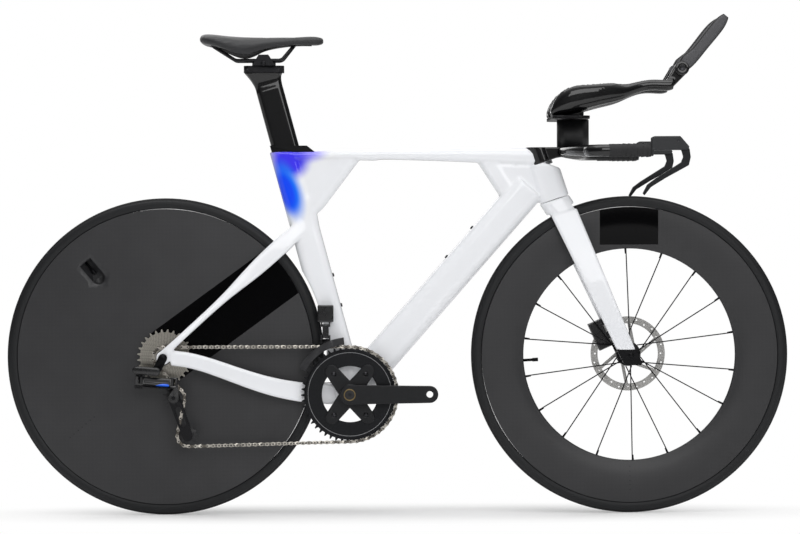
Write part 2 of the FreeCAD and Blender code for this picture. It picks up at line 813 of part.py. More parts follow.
# Gussets fill the two upper corners of the triangle behind a rounded edge
gusset_top = Vector(seat_front_x + dim.seat_gusset_length, 0,
                    dim.seat_tube_top - dim.top_tube_rear_depth)
gusset_low = dim.seat_tube_top - dim.top_tube_rear_depth - dim.seat_gusset_drop
gusset_foot = on_seat_line(gusset_low) + seat_out * foot
gusset_back = Vector(-1, 0, 1) * (dim.gusset_depth / math.sqrt(2))
gusset_edge = gusset_top - gusset_foot
gusset_run = gusset_edge * (dim.overrun * 2 / gusset_edge.Length)
seat_gusset = loft([
    section(place + gusset_back, place, dim.gusset_width)
    for place in (gusset_foot - gusset_run, gusset_top + gusset_run)
])
FILL_SHARE = 0.3
FILL_WIDTH_SHARE = 0.92
fill_width = dim.gusset_width * FILL_WIDTH_SHARE
seat_fill = flat_outline([
    gusset_foot + gusset_back * FILL_SHARE,
    gusset_top + gusset_back * FILL_SHARE,
    Vector(seat_front_x, 0, gusset_top.z),
], -fill_width / 2, fill_width)
seat_gusset = seat_gusset.fuse(seat_fill).cut(
    Part.makeBox(dim.wheelbase, dim.wheelbase, dim.wheelbase,
                 Vector(-dim.wheelbase, -dim.wheelbase / 2,
                        dim.seat_tube_top - dim.top_tube_rear_depth / 2)))
head_corner_top = Vector(top_front.x - dim.head_gusset_length, 0,
                         dim.top_tube_front_top - dim.top_tube_front_depth)
down_upper = crank_axis + down_side
corner_reach = (head_corner_top.z - dim.head_gusset_drop - down_upper.z) / down_along.z
head_corner_foot = down_upper + down_along * corner_reach
head_edge = head_corner_top - head_corner_foot
head_inward = Vector(head_edge.z, 0, -head_edge.x) * (dim.gusset_depth / head_edge.Length)
head_run = head_edge * (dim.overrun * 2 / head_edge.Length)
head_gusset = loft([
    section(place, place + head_inward, dim.gusset_width)
    for place in (head_corner_foot - head_run, head_corner_top + head_run)
])
DOWN_FILL_SHARE = 0.85
head_fill = flat_outline([
    head_corner_foot + head_inward * FILL_SHARE,
    head_corner_top + head_inward * FILL_SHARE,
    on_steer_axis(dim.head_tube_length - dim.bearing_height, -dim.bearing_height),
    on_steer_axis(dim.bearing_height, -dim.bearing_height),
    crank_axis + down_line * DOWN_FILL_SHARE,
], -fill_width / 2, fill_width)

bottom_half = dim.bottom_shell_width / 2
bottom_shell = rod(crank_axis, ACROSS, dim.bottom_shell_radius, -bottom_half, bottom_half)
main_frame = fused([seat_tube, down_tube, top_tube, head_tube, seat_gusset, head_gusset, head_fill,
                    bottom_shell])

wheel_room = rod(rear_axle, ACROSS, dim.tyre_radius + dim.tyre_clearance, -dim.wheelbase / 2,
                 dim.wheelbase / 2)
head_bore = rod(crown_seat, steer_up, dim.crown_race_radius + dim.body_gap, -dim.overrun,
                dim.head_tube_length + dim.overrun)
lower_seat = rod(crown_seat, steer_up, dim.lower_bearing_radius, -dim.overrun, dim.bearing_height)
upper_seat = rod(head_top, steer_up, dim.upper_bearing_radius, -dim.bearing_height, dim.overrun)
stem_room = rod(head_top, steer_up, stem_back, 0, dim.stem_height + dim.head_tube_length)
crown_room = rod(crown_seat, steer_up, dim.head_tube_back + dim.head_tube_clearance,
                 -dim.crown_depth * 2, 0)
bottom_bore = rod(crank_axis, ACROSS, dim.bottom_cup_radius, -bottom_half - dim.overrun,
                  bottom_half + dim.overrun)
stem_front_room = Part.makeBox(dim.stem_reach * 2, dim.wheelbase, dim.stem_height * 2,
                               Vector(0, -dim.wheelbase / 2, 0))
stem_front_room.Placement = Placement(head_top, Rotation(ACROSS, 90 - dim.head_angle))
main_frame = main_frame.cut(wheel_room).cut(crown_room).cut(stem_room).cut(stem_front_room)
main_frame = main_frame.cut(head_bore).cut(lower_seat).cut(upper_seat).cut(bottom_bore).cut(seatpost)
keep("frame", main_frame)

# Rear stays: a chain stay, a seat stay and a dropout on each side, bonded to the front triangle

def between(low, high, share):
    return low + (high - low) * share


dropout_place = (dim.rear_hub_width + dim.dropout_thickness) / 2
CHAINSTAY_ALONG_SHARES = (0.04, 0.46, 0.62, 0.75, 1)
CHAINSTAY_SAG_SHARES = (-0.06, 0.26, 0.4, 0.38, 0.05)
CHAINSTAY_HEIGHT_SHARES = (0, 0.6, 0.85, 1, 1)
CHAINSTAY_SPREAD_SHARES = (1, 0.62, 0.36, 0.08, -0.02)
chainstay_wires = []
for along, sag, height, spread in zip(
        CHAINSTAY_ALONG_SHARES, CHAINSTAY_SAG_SHARES, CHAINSTAY_HEIGHT_SHARES, CHAINSTAY_SPREAD_SHARES):
    middle = between(rear_axle, crank_axis, along) - UP * (sag * dim.chainstay_root_height)
    half = UP * (between(dim.chainstay_tip_height, dim.chainstay_root_height, height) / 2)
    place = between(dim.chainstay_root_offset, dropout_place, spread)
    chainstay_wires.append(section(middle - half, middle + half, dim.dropout_thickness, -place))

SEATSTAY_ALONG_SHARES = (0, 0.11, 0.33, 0.56, 0.75, 0.88, 0.99)
SEATSTAY_DEPTH_SHARES = (1, 1, 0.9, 0.15, 0, 0, 0.1)
SEATSTAY_SPREAD_SHARES = (0, 0.16, 0.33, 0.54, 0.78, 0.97, 1)
SEATSTAY_FOOT_SHARE = 0.5
stay_join = on_seat_line(dim.seatstay_join_height)
stay_foot = rear_axle + UP * (dim.dropout_radius * SEATSTAY_FOOT_SHARE)
stay_line = stay_foot - stay_join
stay_normal = Vector(-stay_line.z, 0, stay_line.x) / stay_line.Length
seatstay_wires = []
for along, depth, spread in zip(SEATSTAY_ALONG_SHARES, SEATSTAY_DEPTH_SHARES, SEATSTAY_SPREAD_SHARES):
    middle = between(stay_join, stay_foot, along)
    half = stay_normal * (between(dim.seatstay_waist_depth, dim.seatstay_root_depth, depth) / 2)
    place = between(dim.seatstay_root_offset, dropout_place, spread)
    seatstay_wires.append(section(middle - half, middle + half, dim.dropout_thickness, -place))

dropout_inner = dim.rear_hub_width / 2
dropout = rod(rear_axle, -ACROSS, dim.dropout_radius, dropout_inner,
              dropout_inner + dim.dropout_thickness)
narrow_room = dim.tyre_width / 2 + dim.tyre_clearance
stay_room = rod(rear_axle, ACROSS, dim.tyre_radius + dim.tyre_clearance, -narrow_room, narrow_room)
axle_bore = rod(rear_axle, ACROSS, dim.axle_radius, -rear_axle_end - dim.overrun,
                rear_axle_end + dim.overrun)
rotor_side = dim.rear_hub_width / 2 - dim.rear_rotor_inset + dim.overrun
hub_room = rod(rear_axle, ACROSS, dim.rotor_radius + dim.overrun, -rotor_side, rotor_side)
right_stay = fused([loft(chainstay_wires), loft(seatstay_wires), dropout])
right_stay = right_stay.cut(stay_room).cut(axle_bore).cut(hub_room).cut(main_frame)
right_stay = max(right_stay.Solids, key=lambda solid: solid.Volume)
left_stay = mirrored(right_stay)
keep("rear_stays", Part.makeCompound([right_stay, left_stay]))

# Cover of the seatpost clamp, a wedge round the post on the frame's top face
COVER_SLOPE_SHARE = 0.18
cover_rear = seat_top_point - Vector(foot / seat_out.x - dim.overrun, 0, 0)
cover_front = cover_rear + Vector(dim.clamp_cover_length, 0, 0)
cover_rise = UP * dim.clamp_cover_height
seat_lean = Vector(seat_up.x / seat_up.z * dim.clamp_cover_height, 0, 0)
clamp_cover = flat_outline([
    cover_rear,
    cover_front,
    cover_front + cover_rise - Vector(dim.clamp_cover_length * COVER_SLOPE_SHARE, 0, 0),
    cover_rear + cover_rise + seat_lean,
], -dim.clamp_cover_width / 2, dim.clamp_cover_width)
keep("seat_clamp_cover", clamp_cover.cut(seatpost).cut(main_frame))

# Headset bearings and bottom bracket cups, pressed into the frame
lower_bearing = rod(crown_seat, steer_up, dim.lower_bearing_radius, 0, dim.bearing_height)
lower_bearing = lower_bearing.cut(
    rod(crown_seat, steer_up, dim.crown_race_radius + dim.running_gap, -dim.overrun,
        dim.bearing_height + dim.overrun))
upper_bearing = rod(head_top, steer_up, dim.upper_bearing_radius, -dim.bearing_height, 0)
upper_bearing = upper_bearing.cut(
    rod(head_top, steer_up, dim.steerer_radius + dim.running_gap, -dim.bearing_height - dim.overrun,
        dim.overrun))
keep("headset_bearings", Part.makeCompound([lower_bearing, upper_bearing]))

CUP_LIP_SHARE = 1.15
cups = []
for side in (-1, 1):
    cup = rod(crank_axis, ACROSS * side, dim.bottom_cup_radius, bottom_half - dim.bottom_cup_length,
              bottom_half)
    lip = rod(crank_axis, ACROSS * side, dim.bottom_cup_radius * CUP_LIP_SHARE, bottom_half,
              bottom_half + dim.bottom_cup_lip)
    bore = rod(crank_axis, ACROSS * side, dim.spindle_radius + dim.running_gap, 0,
               dim.bottom_shell_width)
    cups.append(cup.fuse(lip).cut(bore))
keep("bottom_bracket_cups", Part.makeCompound(cups))

# Fork: a crown, two straight tapered blades and the steerer in one piece
CROWN_LEAN_SHARE = 0.26
BLADE_TOP_SHARE = 0.7
BLADE_MIDDLE_SHARE = 0.42
crown_wires = [
    section(on_steer_axis(-dim.body_gap, -dim.head_tube_back),
            on_steer_axis(-dim.body_gap, dim.head_tube_nose),
            dim.head_tube_width),
    section(on_steer_axis(-dim.crown_depth, -dim.head_tube_back + dim.crown_depth * CROWN_LEAN_SHARE),
            on_steer_axis(-dim.crown_depth,
                          dim.head_tube_nose + dim.crown_depth * CROWN_LEAN_SHARE), dim.crown_width),
]
blade_top = on_steer_axis(-dim.crown_depth * BLADE_TOP_SHARE,
                          dim.crown_depth * BLADE_TOP_SHARE * CROWN_LEAN_SHARE)
blade_tip = front_axle + UP * dim.fork_tip_rise - Vector(dim.fork_tip_drop * SEATSTAY_FOOT_SHARE, 0, 0)
top_half = steer_out * (dim.fork_blade_top_depth / 2)
tip_half = Vector(dim.fork_blade_tip_depth / 2, 0, 0)
blade_top_place = (dim.crown_width - dim.fork_blade_thickness) / 2
blade_tip_place = (dim.front_hub_width + dim.fork_blade_thickness) / 2
blade_wires = []
for share in (0, BLADE_MIDDLE_SHARE, 1):
    middle = between(blade_top, blade_tip, share)
    half = between(top_half, tip_half, share)
    place = between(blade_top_place, blade_tip_place, math.sqrt(share))
    blade_wires.append(section(middle - half, middle + half, dim.fork_blade_thickness, -place))
front_room = rod(front_axle, ACROSS, dim.tyre_radius + dim.tyre_clearance, -narrow_room, narrow_room)
race = rod(crown_seat, steer_up, dim.crown_race_radius, -dim.overrun, dim.bearing_height + dim.body_gap)
STEERER_TOP_SHARE = 0.6
steerer = rod(crown_seat, steer_up, dim.steerer_radius, -dim.overrun,
              dim.head_tube_length + dim.stem_height * STEERER_TOP_SHARE)
right_blade = loft(blade_wires)
crown = loft(crown_wires)
fork = fused([crown, right_blade, mirrored(right_blade)]).cut(front_room).fuse(race).fuse(steerer)
keep("fork", fork)

# Fork tips: dark dropouts below the painted blades, drilled for the thru axle
TIP_LEAN_SHARE = 0.38
tip_drop = UP * (dim.fork_tip_rise + dim.fork_tip_drop)
tip_lean = Vector(dim.fork_blade_tip_depth * TIP_LEAN_SHARE, 0, 0)
TIP_CORNER_SHARE = 0.25
tip_corner = tip_half * TIP_CORNER_SHARE
front_bore = rod(front_axle, ACROSS, dim.axle_radius, -front_axle_end - dim.overrun,
                 front_axle_end + dim.overrun)
right_tip = flat_outline([
    blade_tip - tip_half,
    blade_tip + tip_half,
    blade_tip + tip_half + tip_lean - tip_drop + UP * tip_corner.x,
    blade_tip + tip_half + tip_lean - tip_drop - tip_corner,
    blade_tip - tip_half + tip_lean - tip_drop + tip_corner,
    blade_tip - tip_half + tip_lean - tip_drop + UP * tip_corner.x - tip_corner * TIP_CORNER_SHARE,
], -dim.front_hub_width / 2 - dim.fork_blade_thickness, dim.fork_blade_thickness).cut(front_bore)
keep("fork_tips", Part.makeCompound([right_tip, mirrored(right_tip)]))

# Base bar: a flat wing that turns forward into a round grip on each side
bar_end_x = head_top.x + dim.bar_reach
wing_middle = Vector(head_top.x + dim.stem_reach + dim.overrun * 2, 0,
                     dim.top_tube_front_top - dim.wing_thickness / 2)
grip_z = wing_middle.z - dim.bar_drop
grip_y = dim.bar_width / 2
bar_diameter = dim.bar_radius * 2
WING_OUT_SHARES = (0, 0.5)
WING_CHORD_SHARES = (1, 0.9)
WING_SWEEP_SHARES = (0, 0.12)
BAR_ROUND_SHARE = 0.44
forward = Vector(1, 0, 0)
bar_wires = []
for out, chord, sweep in zip(WING_OUT_SHARES, WING_CHORD_SHARES, WING_SWEEP_SHARES):
    centre = wing_middle + Vector(dim.wing_chord * sweep, -grip_y * out, -dim.bar_drop * out)
    bar_wires.append(rounded_wire(centre, forward, UP, dim.wing_chord * chord, dim.wing_thickness,
                                  BAR_ROUND_SHARE))
bend_start = Vector(wing_middle.x + dim.wing_chord / 2, dim.bar_bend - grip_y, grip_z)
bend_wire = rounded_wire(bend_start, forward, UP, bar_diameter, bar_diameter, BAR_ROUND_SHARE)
bar_bend = Part.Face(bend_wire).revolve(bend_start + forward * dim.bar_bend, UP, 90)
arm_start = bend_start + Vector(dim.bar_bend, -dim.bar_bend, 0)
bar_end = Vector(bar_end_x, -grip_y, grip_z)
arm_wire = rounded_wire(arm_start, ACROSS, UP, bar_diameter, bar_diameter, BAR_ROUND_SHARE)
bar_arm = Part.Face(arm_wire).extrude(bar_end - arm_start)
PLUG_SHARE = 0.64
plug = rod(bar_end, forward, dim.bar_radius * PLUG_SHARE, -dim.tape_length / 2, 0)
right_bar = fused([loft(bar_wires + [bend_wire]), bar_bend, bar_arm])
base_bar = right_bar.fuse(mirrored(right_bar)).cut(plug).cut(mirrored(plug))
keep("base_bar", base_bar)

# Grip tape on each arm, finished by a narrow band at its rear end
tape_outer = bar_diameter + dim.tape_thickness * 2
band_outer = bar_diameter + dim.tape_thickness
tape_start = bar_end - forward * dim.tape_length
band_start = tape_start - forward * dim.tape_band_length


def sleeve(start, end, diameter):
    wires = [rounded_wire(place, ACROSS, UP, diameter, diameter, BAR_ROUND_SHARE) for place in (start,
                                                                                                end)]
    return loft(wires).cut(right_bar)


tape = [sleeve(tape_start, bar_end, tape_outer), sleeve(band_start, tape_start, band_outer)]
keep("bar_tape", Part.makeCompound(tape + [mirrored(item) for item in tape]))

# Stem: a round boss on the steerer and a short arm that clasps the base bar
stem_top_cut = Part.makeBox(dim.wheelbase, dim.wheelbase, dim.wheelbase,
                            Vector(0, -dim.wheelbase / 2, dim.top_tube_front_top))
stem_boss = rod(head_top, steer_up, dim.stem_radius, dim.body_gap,
                dim.stem_height * 2).cut(stem_top_cut)
STEM_WIDTH_SHARE = 0.84
stem_half = dim.stem_radius * STEM_WIDTH_SHARE
stem_front_x = head_top.x + dim.stem_reach
arm_low = on_steer_axis(dim.head_tube_length + dim.body_gap, dim.head_tube_nose)
stem_arm = flat_outline([
    on_steer_axis(dim.head_tube_length + dim.body_gap),
    arm_low,
    Vector(stem_front_x, 0, wing_middle.z - dim.wing_thickness / 2),
    Vector(stem_front_x, 0, dim.top_tube_front_top),
    Vector(head_top.x + steer_up.x * dim.stem_height, 0, dim.top_tube_front_top),
], -stem_half, stem_half * 2)
steerer_solid = rod(crown_seat, steer_up, dim.steerer_radius, 0,
                    dim.head_tube_length + dim.stem_height * STEERER_TOP_SHARE)
keep("stem", stem_boss.fuse(stem_arm).cut(base_bar).cut(steerer_solid))

# Brake lever bodies plugged into the bar ends, and the levers on their pivots
BODY_X_SHARES = (0, 0, 0.08, 0.76, 1, 0.96)
BODY_Z_SHARES = (0, 0.9, 1, 1, 0.24, 0)
PIVOT_X_SHARE = 0.71
PIVOT_Z_SHARE = 0.68
SLOT_SHARE = 0.55
ROOT_SHARE = 0.19


def lever_place(x_share, z):
    return bar_end + Vector(dim.lever_body_length * x_share, 0, z)


lever_pivot = lever_place(PIVOT_X_SHARE, dim.lever_body_height * PIVOT_Z_SHARE)
body_outline = [lever_place(x, dim.lever_body_height * z) - ACROSS * bar_end.y
                for x, z in zip(BODY_X_SHARES, BODY_Z_SHARES)]
body_half = dim.lever_body_width / 2
slot_half = dim.lever_width / 2 + dim.body_gap
root_radius = dim.lever_body_height * ROOT_SHARE
lever_body = flat_outline(body_outline, bar_end.y - body_half, dim.lever_body_width)
slot_low = lever_place(SLOT_SHARE, -dim.overrun) - ACROSS * slot_half
slot_top = lever_pivot.z + root_radius + dim.body_gap * 2
lever_slot = Part.makeBox(dim.lever_body_length, slot_half * 2, slot_top - slot_low.z, slot_low)
collar = rod(bar_end, forward, dim.bar_radius, 0, dim.overrun)
lever_body = fused([lever_body, collar, plug]).cut(lever_slot)
lever_pin = rod(lever_pivot, ACROSS, dim.lever_pivot_radius, -body_half, body_half)
lever_body = lever_body.fuse(lever_pin)
keep("lever_bodies", Part.makeCompound([lever_body, mirrored(lever_body)]))

# Lever blades: down in front of the bar end, then back under the grip in a slight hook
LEVER_FRONT_X_SHARES = (0.84, 1.01, 1.04, 0.99, 0.38, -0.01, -0.18)
LEVER_FRONT_Z_SHARES = (0.15, 0.02, -0.12, -0.26, -0.475, -0.63, -0.77)
LEVER_BACK_X_SHARES = (-0.23, -0.11, 0.11, 0.78, 0.84, 0.8, 0.66)
LEVER_BACK_Z_SHARES = (-0.735, -0.585, -0.48, -0.21, -0.115, -0.02, 0.12)
lever_outline = [
    lever_place(x, dim.lever_reach * z) - ACROSS * bar_end.y
    for x, z in zip(LEVER_FRONT_X_SHARES + LEVER_BACK_X_SHARES,
                    LEVER_FRONT_Z_SHARES + LEVER_BACK_Z_SHARES)
]
lever = flat_outline(lever_outline, bar_end.y - dim.lever_width / 2, dim.lever_width)
lever = lever.fuse(rod(lever_pivot, ACROSS, root_radius, -dim.lever_width / 2, dim.lever_width / 2))
lever = lever.cut(rod(lever_pivot, ACROSS, dim.lever_pivot_radius + dim.running_gap, -body_half,
                      body_half))
keep("brake_lever_right", lever)
keep("brake_lever_left", mirrored(lever))

# Risers and bridge plate that carry the forearm rests above the stem
riser_middle = Vector(wing_middle.x + dim.overrun / 2, 0, dim.top_tube_front_top)
RISER_ROUND_SHARE = 0.4


def block(centre, length, width, height, round_share):
    """A block with rounded upright corners, standing on a point."""
    return Part.Face(rounded_wire(centre, forward, ACROSS, length, width,
                                  round_share)).extrude(UP * height)


riser_low = block(riser_middle, dim.riser_length, dim.riser_width, dim.riser_split, RISER_ROUND_SHARE)
riser_high = block(riser_middle + UP * dim.riser_split, dim.riser_length, dim.riser_width,
                   dim.riser_height - dim.riser_split, RISER_ROUND_SHARE)
keep("riser_spacers", Part.makeCompound([riser_low, riser_high]))
BRIDGE_ROUND_SHARE = 0.3
BRIDGE_SET_SHARE = 0.73
bridge_middle = riser_middle + UP * dim.riser_height
bridge_middle = bridge_middle - forward * ((dim.bridge_length - dim.riser_length) * BRIDGE_SET_SHARE)
keep("bridge_plate",
     block(bridge_middle, dim.bridge_length, dim.bridge_width, dim.bridge_thickness,
           BRIDGE_ROUND_SHARE))

# Forearm rests: troughs that narrow into the extensions, with a lug for the grip at the front end
REST_ROUND_SHARE = 0.42
REST_ALONG_SHARES = (0, 0.06, 0.17, 0.3, 0.45, 0.6, 0.725, 0.84, 1)
REST_LOW_SHARES = (0.03, 0.02, 0.07, 0.18, 0.31, 0.455, 0.635, 0.7, 0.725)
REST_TOP_SHARES = (0.19, 0.58, 0.83, 0.865, 0.865, 0.86, 0.945, 0.99, 1)
REST_WIDTH_SHARES = (0.76, 0.9, 1, 0.98, 0.83, 0.62, 0.42, 0.34, 0.29)
rest_back = bridge_middle + UP * dim.bridge_thickness - forward * (dim.bridge_length / 2)
rest_back = rest_back - ACROSS * (dim.rest_spacing / 2)
rest_wires = []
for along, low, top, width in zip(REST_ALONG_SHARES, REST_LOW_SHARES, REST_TOP_SHARES,
                                  REST_WIDTH_SHARES):
    place = rest_back + forward * (dim.rest_length * along)
    middle = place + UP * (dim.rest_height * (low + top) / 2)
    rest_wires.append(rounded_wire(middle, ACROSS, UP, dim.rest_width * width,
                                   dim.rest_height * (top - low), REST_ROUND_SHARE))
TROUGH_ALONG_SHARES = (-0.03, 0.06, 0.17, 0.3, 0.45, 0.58, 0.66)
TROUGH_FLOOR_SHARES = (0.1, 0.13, 0.2, 0.3, 0.45, 0.66, 0.84)
trough_wires = []
TROUGH_WIDTH_SHARES = (0.72, 0.86, 0.96, 0.94, 0.78, 0.52, 0.24)
trough_wall = dim.rest_wall * 2
for along, floor, width in zip(TROUGH_ALONG_SHARES, TROUGH_FLOOR_SHARES, TROUGH_WIDTH_SHARES):
    place = rest_back + forward * (dim.rest_length * along)
    low = dim.rest_height * floor
    high = dim.rest_height * 2
    middle = place + UP * ((low + high) / 2)
    trough_wires.append(rounded_wire(middle, ACROSS, UP, dim.rest_width * width - trough_wall,
                                     high - low, REST_ROUND_SHARE))
trough = loft(trough_wires)
PEDESTAL_ALONG_SHARE = 0.19
PEDESTAL_HEIGHT_SHARE = 0.16
PEDESTAL_ROUND_SHARE = 0.3
pedestal_place = rest_back + forward * (dim.rest_length * PEDESTAL_ALONG_SHARE)
pedestal = block(pedestal_place, dim.bridge_length / 2, dim.rest_width / 2,
                 dim.rest_height * PEDESTAL_HEIGHT_SHARE,
                 PEDESTAL_ROUND_SHARE)
GRIP_PIVOT_AHEAD_SHARE = 1.07
GRIP_PIVOT_RISE_SHARE = 1.3
LUG_FOOT_SHARE = 0.97
LUG_NECK_SHARE = 0.13
LUG_RISE_SHARE = 0.87
grip_pivot = rest_back + forward * (dim.rest_length * GRIP_PIVOT_AHEAD_SHARE)
grip_pivot = grip_pivot + UP * (dim.rest_height * GRIP_PIVOT_RISE_SHARE)
lug_foot = rest_back + forward * (dim.rest_length * LUG_FOOT_SHARE)
lug_foot = lug_foot + UP * (dim.rest_height * LUG_RISE_SHARE)
flatten = ACROSS * rest_back.y
lug_half = dim.grip_lug_thickness / 2
lug = rounded_bar(lug_foot - flatten, grip_pivot - flatten, dim.rest_height * LUG_NECK_SHARE,
                  dim.grip_pivot_radius,
                  rest_back.y - lug_half, dim.grip_lug_thickness)
grip_pin = rod(grip_pivot, ACROSS, dim.grip_pin_radius, -dim.grip_width / 2, dim.grip_width / 2)
right_rest = fused([loft(rest_wires), pedestal]).cut(trough).fuse(lug).fuse(grip_pin)
keep("arm_rests", Part.makeCompound([right_rest, mirrored(right_rest)]))

# Forearm pads: soft liners on the troughs' floors
PAD_START_SHARE = 0.05
PAD_LENGTH_SHARE = 0.42
PAD_TOP_SHARE = 0.78
pad_box = Part.makeBox(dim.rest_length * PAD_LENGTH_SHARE, dim.rest_width * 2,
                       dim.rest_height * PAD_TOP_SHARE,
                       rest_back + forward * (dim.rest_length * PAD_START_SHARE) - ACROSS * dim.rest_width)
lifted = trough.copy()
lifted.translate(UP * dim.pad_thickness)
liner = trough.copy()
liner.translate(UP * dim.body_gap)
right_pad = liner.cut(lifted).common(pad_box)
right_pad = max(right_pad.Solids, key=lambda solid: solid.Volume)
keep("arm_pads", Part.makeCompound([right_pad, mirrored(right_pad)]))

# Grips: upright handles that tilt on the lugs
grip_lean = math.radians(dim.grip_angle)
grip_up = Vector(math.cos(grip_lean), 0, math.sin(grip_lean))
grip_side = Vector(math.sin(grip_lean), 0, -math.cos(grip_lean))
GRIP_ALONG_SHARES = (0.06, 0.3, 0.62, 0.9, 1)
GRIP_DEPTH_SHARES = (0.8, 0.97, 1, 0.86, 0.5)
GRIP_WIDTH_SHARES = (1, 1, 0.98, 0.84, 0.5)
grip_wires = [
    rounded_wire(grip_pivot + grip_up * (dim.grip_length * along), grip_side, ACROSS,
                 dim.grip_depth * depth, dim.grip_width * width, REST_ROUND_SHARE)
    for along, depth, width in zip(GRIP_ALONG_SHARES, GRIP_DEPTH_SHARES, GRIP_WIDTH_SHARES)
]
grip_boss = rod(grip_pivot, ACROSS, dim.grip_pivot_radius, -dim.grip_width / 2, dim.grip_width / 2)
lug_room_half = lug_half + dim.body_gap
lug_room = rod(grip_pivot, ACROSS, dim.grip_pivot_radius + dim.body_gap * 4, -lug_room_half,
               lug_room_half)
pin_room = rod(grip_pivot, ACROSS, dim.grip_pin_radius + dim.running_gap, -dim.grip_width,
               dim.grip_width)
grip = loft(grip_wires).fuse(grip_boss).cut(lug_room).cut(pin_room)
keep("grip_right", grip)
keep("grip_left", mirrored(grip))

# Saddle cover: a crowned pad, wide at the rear and drawn in to the nose, hollow underneath
SADDLE_ALONG_SHARES = (0, 0.05, 0.17, 0.33, 0.5, 0.67, 0.85, 0.96, 1)
SADDLE_WIDTH_SHARES = (0.55, 0.84, 1, 0.87, 0.56, 0.37, 0.29, 0.21, 0.11)
SADDLE_TOP_SHARES = (0.9, 1, 0.93, 0.84, 0.82, 0.85, 0.89, 0.87, 0.79)
SADDLE_LOW_SHARES = (0.66, 0.5, 0.33, 0.02, 0.25, 0.43, 0.48, 0.49, 0.55)
CROWN_FOOT_SHARE = 0.84
CROWN_BELLY_SHARE = 0.99
CROWN_BELLY_RISE_SHARE = 0.3
CROWN_SHOULDER_SHARE = 0.97
CROWN_SHOULDER_RISE_SHARE = 0.62


def share_at(places, values, place):
    """The value of a share table at a place between its entries."""
    for i in range(len(places) - 1):
        if place <= places[i + 1]:
            return between(values[i], values[i + 1], (place - places[i]) / (places[i + 1] - places[i]))
    return values[-1]


def saddle_x(along):
    return -dim.saddle_nose_back - dim.saddle_length * (1 - along)


def saddle_z(share):
    return dim.saddle_top - dim.saddle_depth * (1 - share)


def crowned_wire(x, half, low, top):
    """A section with a flat foot, bellied sides and a crowned top."""
    rise = top - low

    def place(out, up):
        return Vector(x, half * out, low + rise * up)

    foot_right = place(CROWN_FOOT_SHARE, 0)
    foot_left = place(-CROWN_FOOT_SHARE, 0)
    belly_right = place(CROWN_BELLY_SHARE, CROWN_BELLY_RISE_SHARE)
    belly_left = place(-CROWN_BELLY_SHARE, CROWN_BELLY_RISE_SHARE)
    shoulder_right = place(CROWN_SHOULDER_SHARE, CROWN_SHOULDER_RISE_SHARE)
    shoulder_left = place(-CROWN_SHOULDER_SHARE, CROWN_SHOULDER_RISE_SHARE)
    return Part.Wire([
        Part.LineSegment(foot_left, foot_right).toShape(),
        Part.Arc(foot_right, belly_right, shoulder_right).toShape(),
        Part.Arc(shoulder_right, place(0, 1), shoulder_left).toShape(),
        Part.Arc(shoulder_left, belly_left, foot_left).toShape(),
    ])


saddle_wires = []
for along, width, low, top in zip(SADDLE_ALONG_SHARES, SADDLE_WIDTH_SHARES, SADDLE_LOW_SHARES,
                                  SADDLE_TOP_SHARES):
    saddle_wires.append(crowned_wire(saddle_x(along), dim.saddle_width * width / 2, saddle_z(low),
                                     saddle_z(top)))
HOLLOW_ALONG_SHARES = (0.1, 0.2, 0.33, 0.5, 0.67, 0.8, 0.9)
HOLLOW_ROOF_SHARE = 1.8
HOLLOW_ROUND_SHARE = 0.3
hollow_wires = []
for along in HOLLOW_ALONG_SHARES:
    width = dim.saddle_width * share_at(SADDLE_ALONG_SHARES, SADDLE_WIDTH_SHARES,
                                        along) - dim.saddle_skirt * 2
    roof = saddle_z(share_at(SADDLE_ALONG_SHARES, SADDLE_TOP_SHARES,
                             along)) - dim.saddle_skirt * HOLLOW_ROOF_SHARE
    floor = saddle_z(-1)
    hollow_wires.append(rounded_wire(Vector(saddle_x(along), 0, (roof + floor) / 2), ACROSS, UP, width,
                                     roof - floor,
                                     HOLLOW_ROUND_SHARE))
hollow = loft(hollow_wires)
saddle_cover = loft(saddle_wires).cut(hollow)
keep("saddle_cover", saddle_cover)
lowered = hollow.copy()
lowered.translate(-UP * dim.saddle_shell_thickness)
saddle_shell = hollow.cut(lowered).common(loft(saddle_wires))
saddle_shell = max(saddle_shell.Solids, key=lambda solid: solid.Volume)
keep("saddle_shell", saddle_shell)


# Saddle rails: two bent rods whose ends stand in the shell

def bent_path(points, radius):
    """A path of straight runs joined by arcs of one radius."""
    edges = []
    last = points[0]
    for i in range(1, len(points) - 1):
        corner = points[i]
        back = points[i - 1] - corner
        ahead = points[i + 1] - corner
        back = back / back.Length
        ahead = ahead / ahead.Length
        half = back.getAngle(ahead) / 2
        reach = radius / math.tan(half)
        split = back + ahead
        centre = corner + split * (radius / math.sin(half) / split.Length)
        start = corner + back * reach
        end = corner + ahead * reach
        middle = centre + (corner - centre) * (radius / (corner - centre).Length)
        edges.append(Part.LineSegment(last, start).toShape())
        edges.append(Part.Arc(start, middle, end).toShape())
        last = end
    edges.append(Part.LineSegment(last, points[-1]).toShape())
    return Part.Wire(edges)


def tube(path, radius):
    start = path.Edges[0]
    circle = Part.Wire(Part.makeCircle(radius, start.valueAt(start.FirstParameter),
                                       start.tangentAt(start.FirstParameter)))
    return path.makePipeShell([circle], True, True)


